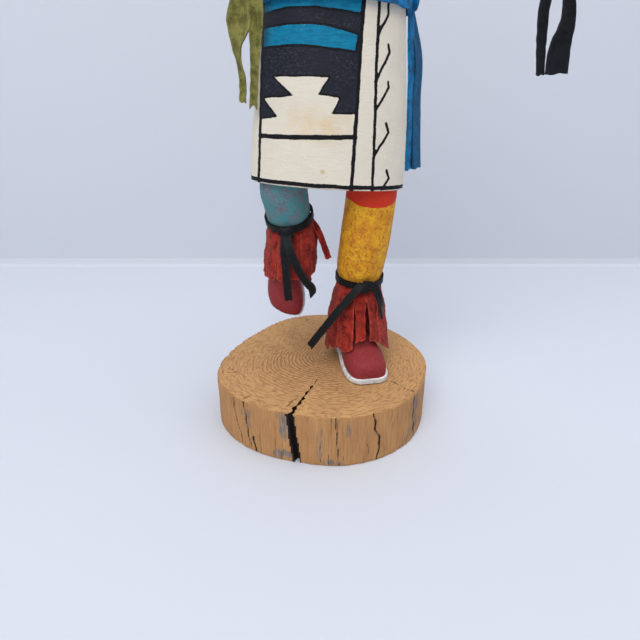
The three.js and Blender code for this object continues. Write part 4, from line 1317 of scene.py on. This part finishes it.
# %% A tree that sets copies of one form along a line
def repeat_tree(name, material, line_kind):
    """Copies of the object, one for each point of a circle or a fan, each turned to its place."""
    tree = bpy.data.node_groups.new(name, "GeometryNodeTree")
    face = tree.interface
    face.new_socket("Geometry", in_out="OUTPUT", socket_type="NodeSocketGeometry")
    face.new_socket("Form", in_out="INPUT", socket_type="NodeSocketObject")
    for label, kind in (("Count", "NodeSocketInt"), ("Radius", "NodeSocketFloat"),
                        ("Spread", "NodeSocketFloat"),
                        ("Seed", "NodeSocketInt"), ("Jitter", "NodeSocketFloat")):
        face.new_socket(label, in_out="INPUT", socket_type=kind)
    given, made = tree.nodes.new("NodeGroupInput").outputs, tree.nodes.new("NodeGroupOutput")

    def node(kind, joins, **settings):
        """A node whose sockets are joined to outputs, or set to values."""
        new = tree.nodes.new(kind)
        for key, value in settings.items():
            setattr(new, key, value)
        for socket, value in joins.items():
            if isinstance(value, bpy.types.NodeSocket):
                tree.links.new(value, new.inputs[socket])
            else:
                new.inputs[socket].default_value = value
        return new.outputs

    circle = line_kind == "circle"
    line = node("GeometryNodeMeshLine", {"Count": given["Count"], "Offset": (0, 0, 0)})
    index = node("GeometryNodeInputIndex", {})
    steps = node("ShaderNodeMath", {0: given["Count"], 1: 0 if circle else 1}, operation="SUBTRACT")
    share = node("ShaderNodeMath", {0: index[0], 1: steps[0]}, operation="DIVIDE")
    half = node("ShaderNodeMath", {0: given["Spread"], 1: -0.5}, operation="MULTIPLY")
    turn = node("ShaderNodeMath", {0: share[0], 1: given["Spread"], 2: half[0]}, operation="MULTIPLY_ADD")
    noise = node("FunctionNodeRandomValue", {"Max": given["Jitter"], "Seed": given["Seed"]})
    sway = node("ShaderNodeMath", {0: turn[0], 1: noise["Value"]})
    angles = node("ShaderNodeCombineXYZ", {"Z" if circle else "Y": sway[0]})
    away = node("ShaderNodeCombineXYZ", {"X" if circle else "Z": given["Radius"]})
    swing = node("ShaderNodeVectorRotate", {"Vector": away[0], "Rotation": angles[0]},
                 rotation_type="EULER_XYZ")
    spot = node("GeometryNodeSetPosition", {"Geometry": line[0], "Position": swing[0]})
    form = node("GeometryNodeObjectInfo", {"Object": given["Form"]})
    copies = node("GeometryNodeInstanceOnPoints",
                  {"Points": spot[0], "Instance": form["Geometry"], "Rotation": angles[0]})
    real = node("GeometryNodeRealizeInstances", {0: copies[0]})
    dress = node("GeometryNodeSetMaterial", {"Geometry": real[0], "Material": material})
    tree.links.new(dress[0], made.inputs[0])
    return tree


# %% Run a tree and keep its result as a plain mesh
def repeated(name, form, tree, material, node, place, **values):
    """Sets the tree's named inputs, takes the mesh that it makes, and moves it to its place on the trunk."""
    carrier = put(name, bpy.data.meshes.new(name + "_seed"))
    step = carrier.modifiers.new("copies", "NODES")
    step.node_group = tree
    sockets = {item.name: item.identifier for item in tree.interface.items_tree if item.in_out == "INPUT"}
    step[sockets["Form"]] = form
    for label, value in values.items():
        step[sockets[label]] = value
    bpy.context.view_layer.update()
    mesh = bpy.data.meshes.new_from_object(carrier.evaluated_get(bpy.context.evaluated_depsgraph_get()))
    carrier.modifiers.clear()
    carrier.data = mesh
    at = places(carrier) + np.array(place)
    mesh.vertices.foreach_set("co", (lean(at) * MM).ravel())
    bpy.data.objects.remove(form)
    return settle(carrier, material, node)


# %% The ruff
def tuft():
    """One blunt tuft that points along +X from the origin."""
    rows = ((0, 0, -0.4, 1.9), (2.5, 0, 0.1, 2.3), (5.5, 0, 0.2, 1.8), (7.2, 0, -0.2, 0.7))
    return Shape().skin(round_rings(rows, 9, 10))


ruff_tone = suede("brown fur ruff", colour(96, 78, 52), colour(58, 46, 32), colour(136, 116, 84))
circle = repeat_tree("ruff copies", ruff_tone, "circle")
repeated("ruff", tuft().form("tuft"), circle, ruff_tone, "neck_ruff", (0, 0, 144.6),
         Count=46, Radius=13.6 * MM, Spread=2 * math.pi, Seed=4, Jitter=0.12)


# %% The crest
def feather():
    """A carved blade that stands along +Z, thin along Y."""
    rows = ((0, 1.3), (6, 2.4), (13, 3.7), (20, 3.6), (24, 2.4), (26, 0.5))
    line = smooth(rows, np.linspace(0, 1, 40))
    angle = full_turn(28)
    x = line[:, 1, None] * np.cos(angle)
    quill = 0.25 * np.exp(-((x / 0.5) ** 2)) * np.sign(np.sin(angle))
    y = 0.85 * np.sin(angle) * np.clip(line[:, 1, None] / 1.5, 0, 1) + quill
    return Shape().skin(np.stack([x, y, np.broadcast_to(line[:, 0, None], x.shape)], -1))


def feather_paint():
    white = Finish("feather paint", roughness=0.65)
    base = white.mix(white.noise(4, 3), colour(230, 226, 214), colour(214, 208, 192))
    barbs = white.noise(0.6, 2, at=white.stretch(3, 3, 1))
    base = white.over(white.fade(barbs, 0.5, 0.8), 0.4, base, colour(178, 172, 158))
    return white.done(base, barbs, 0.08)


feather_white = feather_paint()
fan = repeat_tree("crest copies", feather_white, "fan")
repeated("crest", feather().form("feather"), fan, feather_white, "crest_feathers",
         (0, 4, HEAD_FOOT + 52.5),
         Count=3, Radius=0.0, Spread=math.radians(56), Seed=1, Jitter=0.0)
tang = np.array([(-4.5, -1.5), (4.5, -1.5), (4.5, 1.5), (-4.5, 1.5)])
tang_rings = np.stack([np.column_stack([tang * s, np.full(4, z)]) for s,
                       z in ((0.96, -5.9), (1, -5.5), (1, 5.5), (0.9, 5.9))])
Shape().skin(lean(tang_rings + (0, 4, HEAD_FOOT + 51))).build("crest_foot", feather_white,
                                                              "crest_feathers")

# %% [markdown]
# ## Room and light
# A pale floor meets a pale wall some way behind the doll. The light is soft and comes from all round, a
# little more from above and the front.

# %% Floor, wall and lights
def room():
    rows = [(-2.5, 0.0), (0.2, 0.0), (0.222, 0.0), (0.2275, 0.0015), (0.229, 0.007), (0.229, 0.03),
            (0.229, 1.6)]
    mesh = bpy.data.meshes.new("room")
    points = [(x, y, z) for y, z in rows for x in (-3, 3)]
    mesh.from_pydata(points, [], [(i, i + 1, i + 3, i + 2) for i in range(0, len(points) - 2, 2)])
    plain = bpy.data.materials.new("matte room paint")
    plain.use_nodes = True
    shader = plain.node_tree.nodes["Principled BSDF"]
    shader.inputs["Base Color"].default_value = colour(207, 212, 223)
    shader.inputs["Roughness"].default_value = 0.9
    # From outside, the room is clear, so that the doll's back can be seen past the wall.
    tree = plain.node_tree
    side = tree.nodes.new("ShaderNodeNewGeometry").outputs["Backfacing"]
    clear, swap = tree.nodes.new("ShaderNodeBsdfTransparent"), tree.nodes.new("ShaderNodeMixShader")
    for source, socket in ((side, 0), (shader.outputs[0], 1), (clear.outputs[0], 2)):
        tree.links.new(source, swap.inputs[socket])
    tree.links.new(swap.outputs[0], tree.nodes["Material Output"].inputs["Surface"])
    mesh.materials.append(plain)
    put("room", mesh)


def soft_light(name, place, size, power, tone):
    """A round lamp at place, in metres, that looks at the doll's middle."""
    data = bpy.data.lights.new(name, "AREA")
    data.shape, data.size, data.energy, data.color = "DISK", size, power, tone
    lamp = put(name, data)
    lamp.location = place
    across = math.hypot(place[0], place[1])
    lamp.rotation_euler = (math.atan2(across, place[2] - 0.12), 0, math.atan2(place[0], -place[1]))


room()
soft_light("window", (-0.35, -0.85, 1.15), 1.2, 13.5, (1.0, 0.985, 0.96))
soft_light("sky", (0.5, 0.0, 1.3), 1.4, 8.5, (0.99, 0.99, 1.0))
world = bpy.data.worlds.new("daylight")
world.use_nodes = True
world.node_tree.nodes["Background"].inputs["Color"].default_value = (0.95, 0.97, 1.0, 1)
world.node_tree.nodes["Background"].inputs["Strength"].default_value = 0.4
bpy.context.scene.world = world
bpy.context.scene.view_settings.view_transform = "Standard"
print("lit")
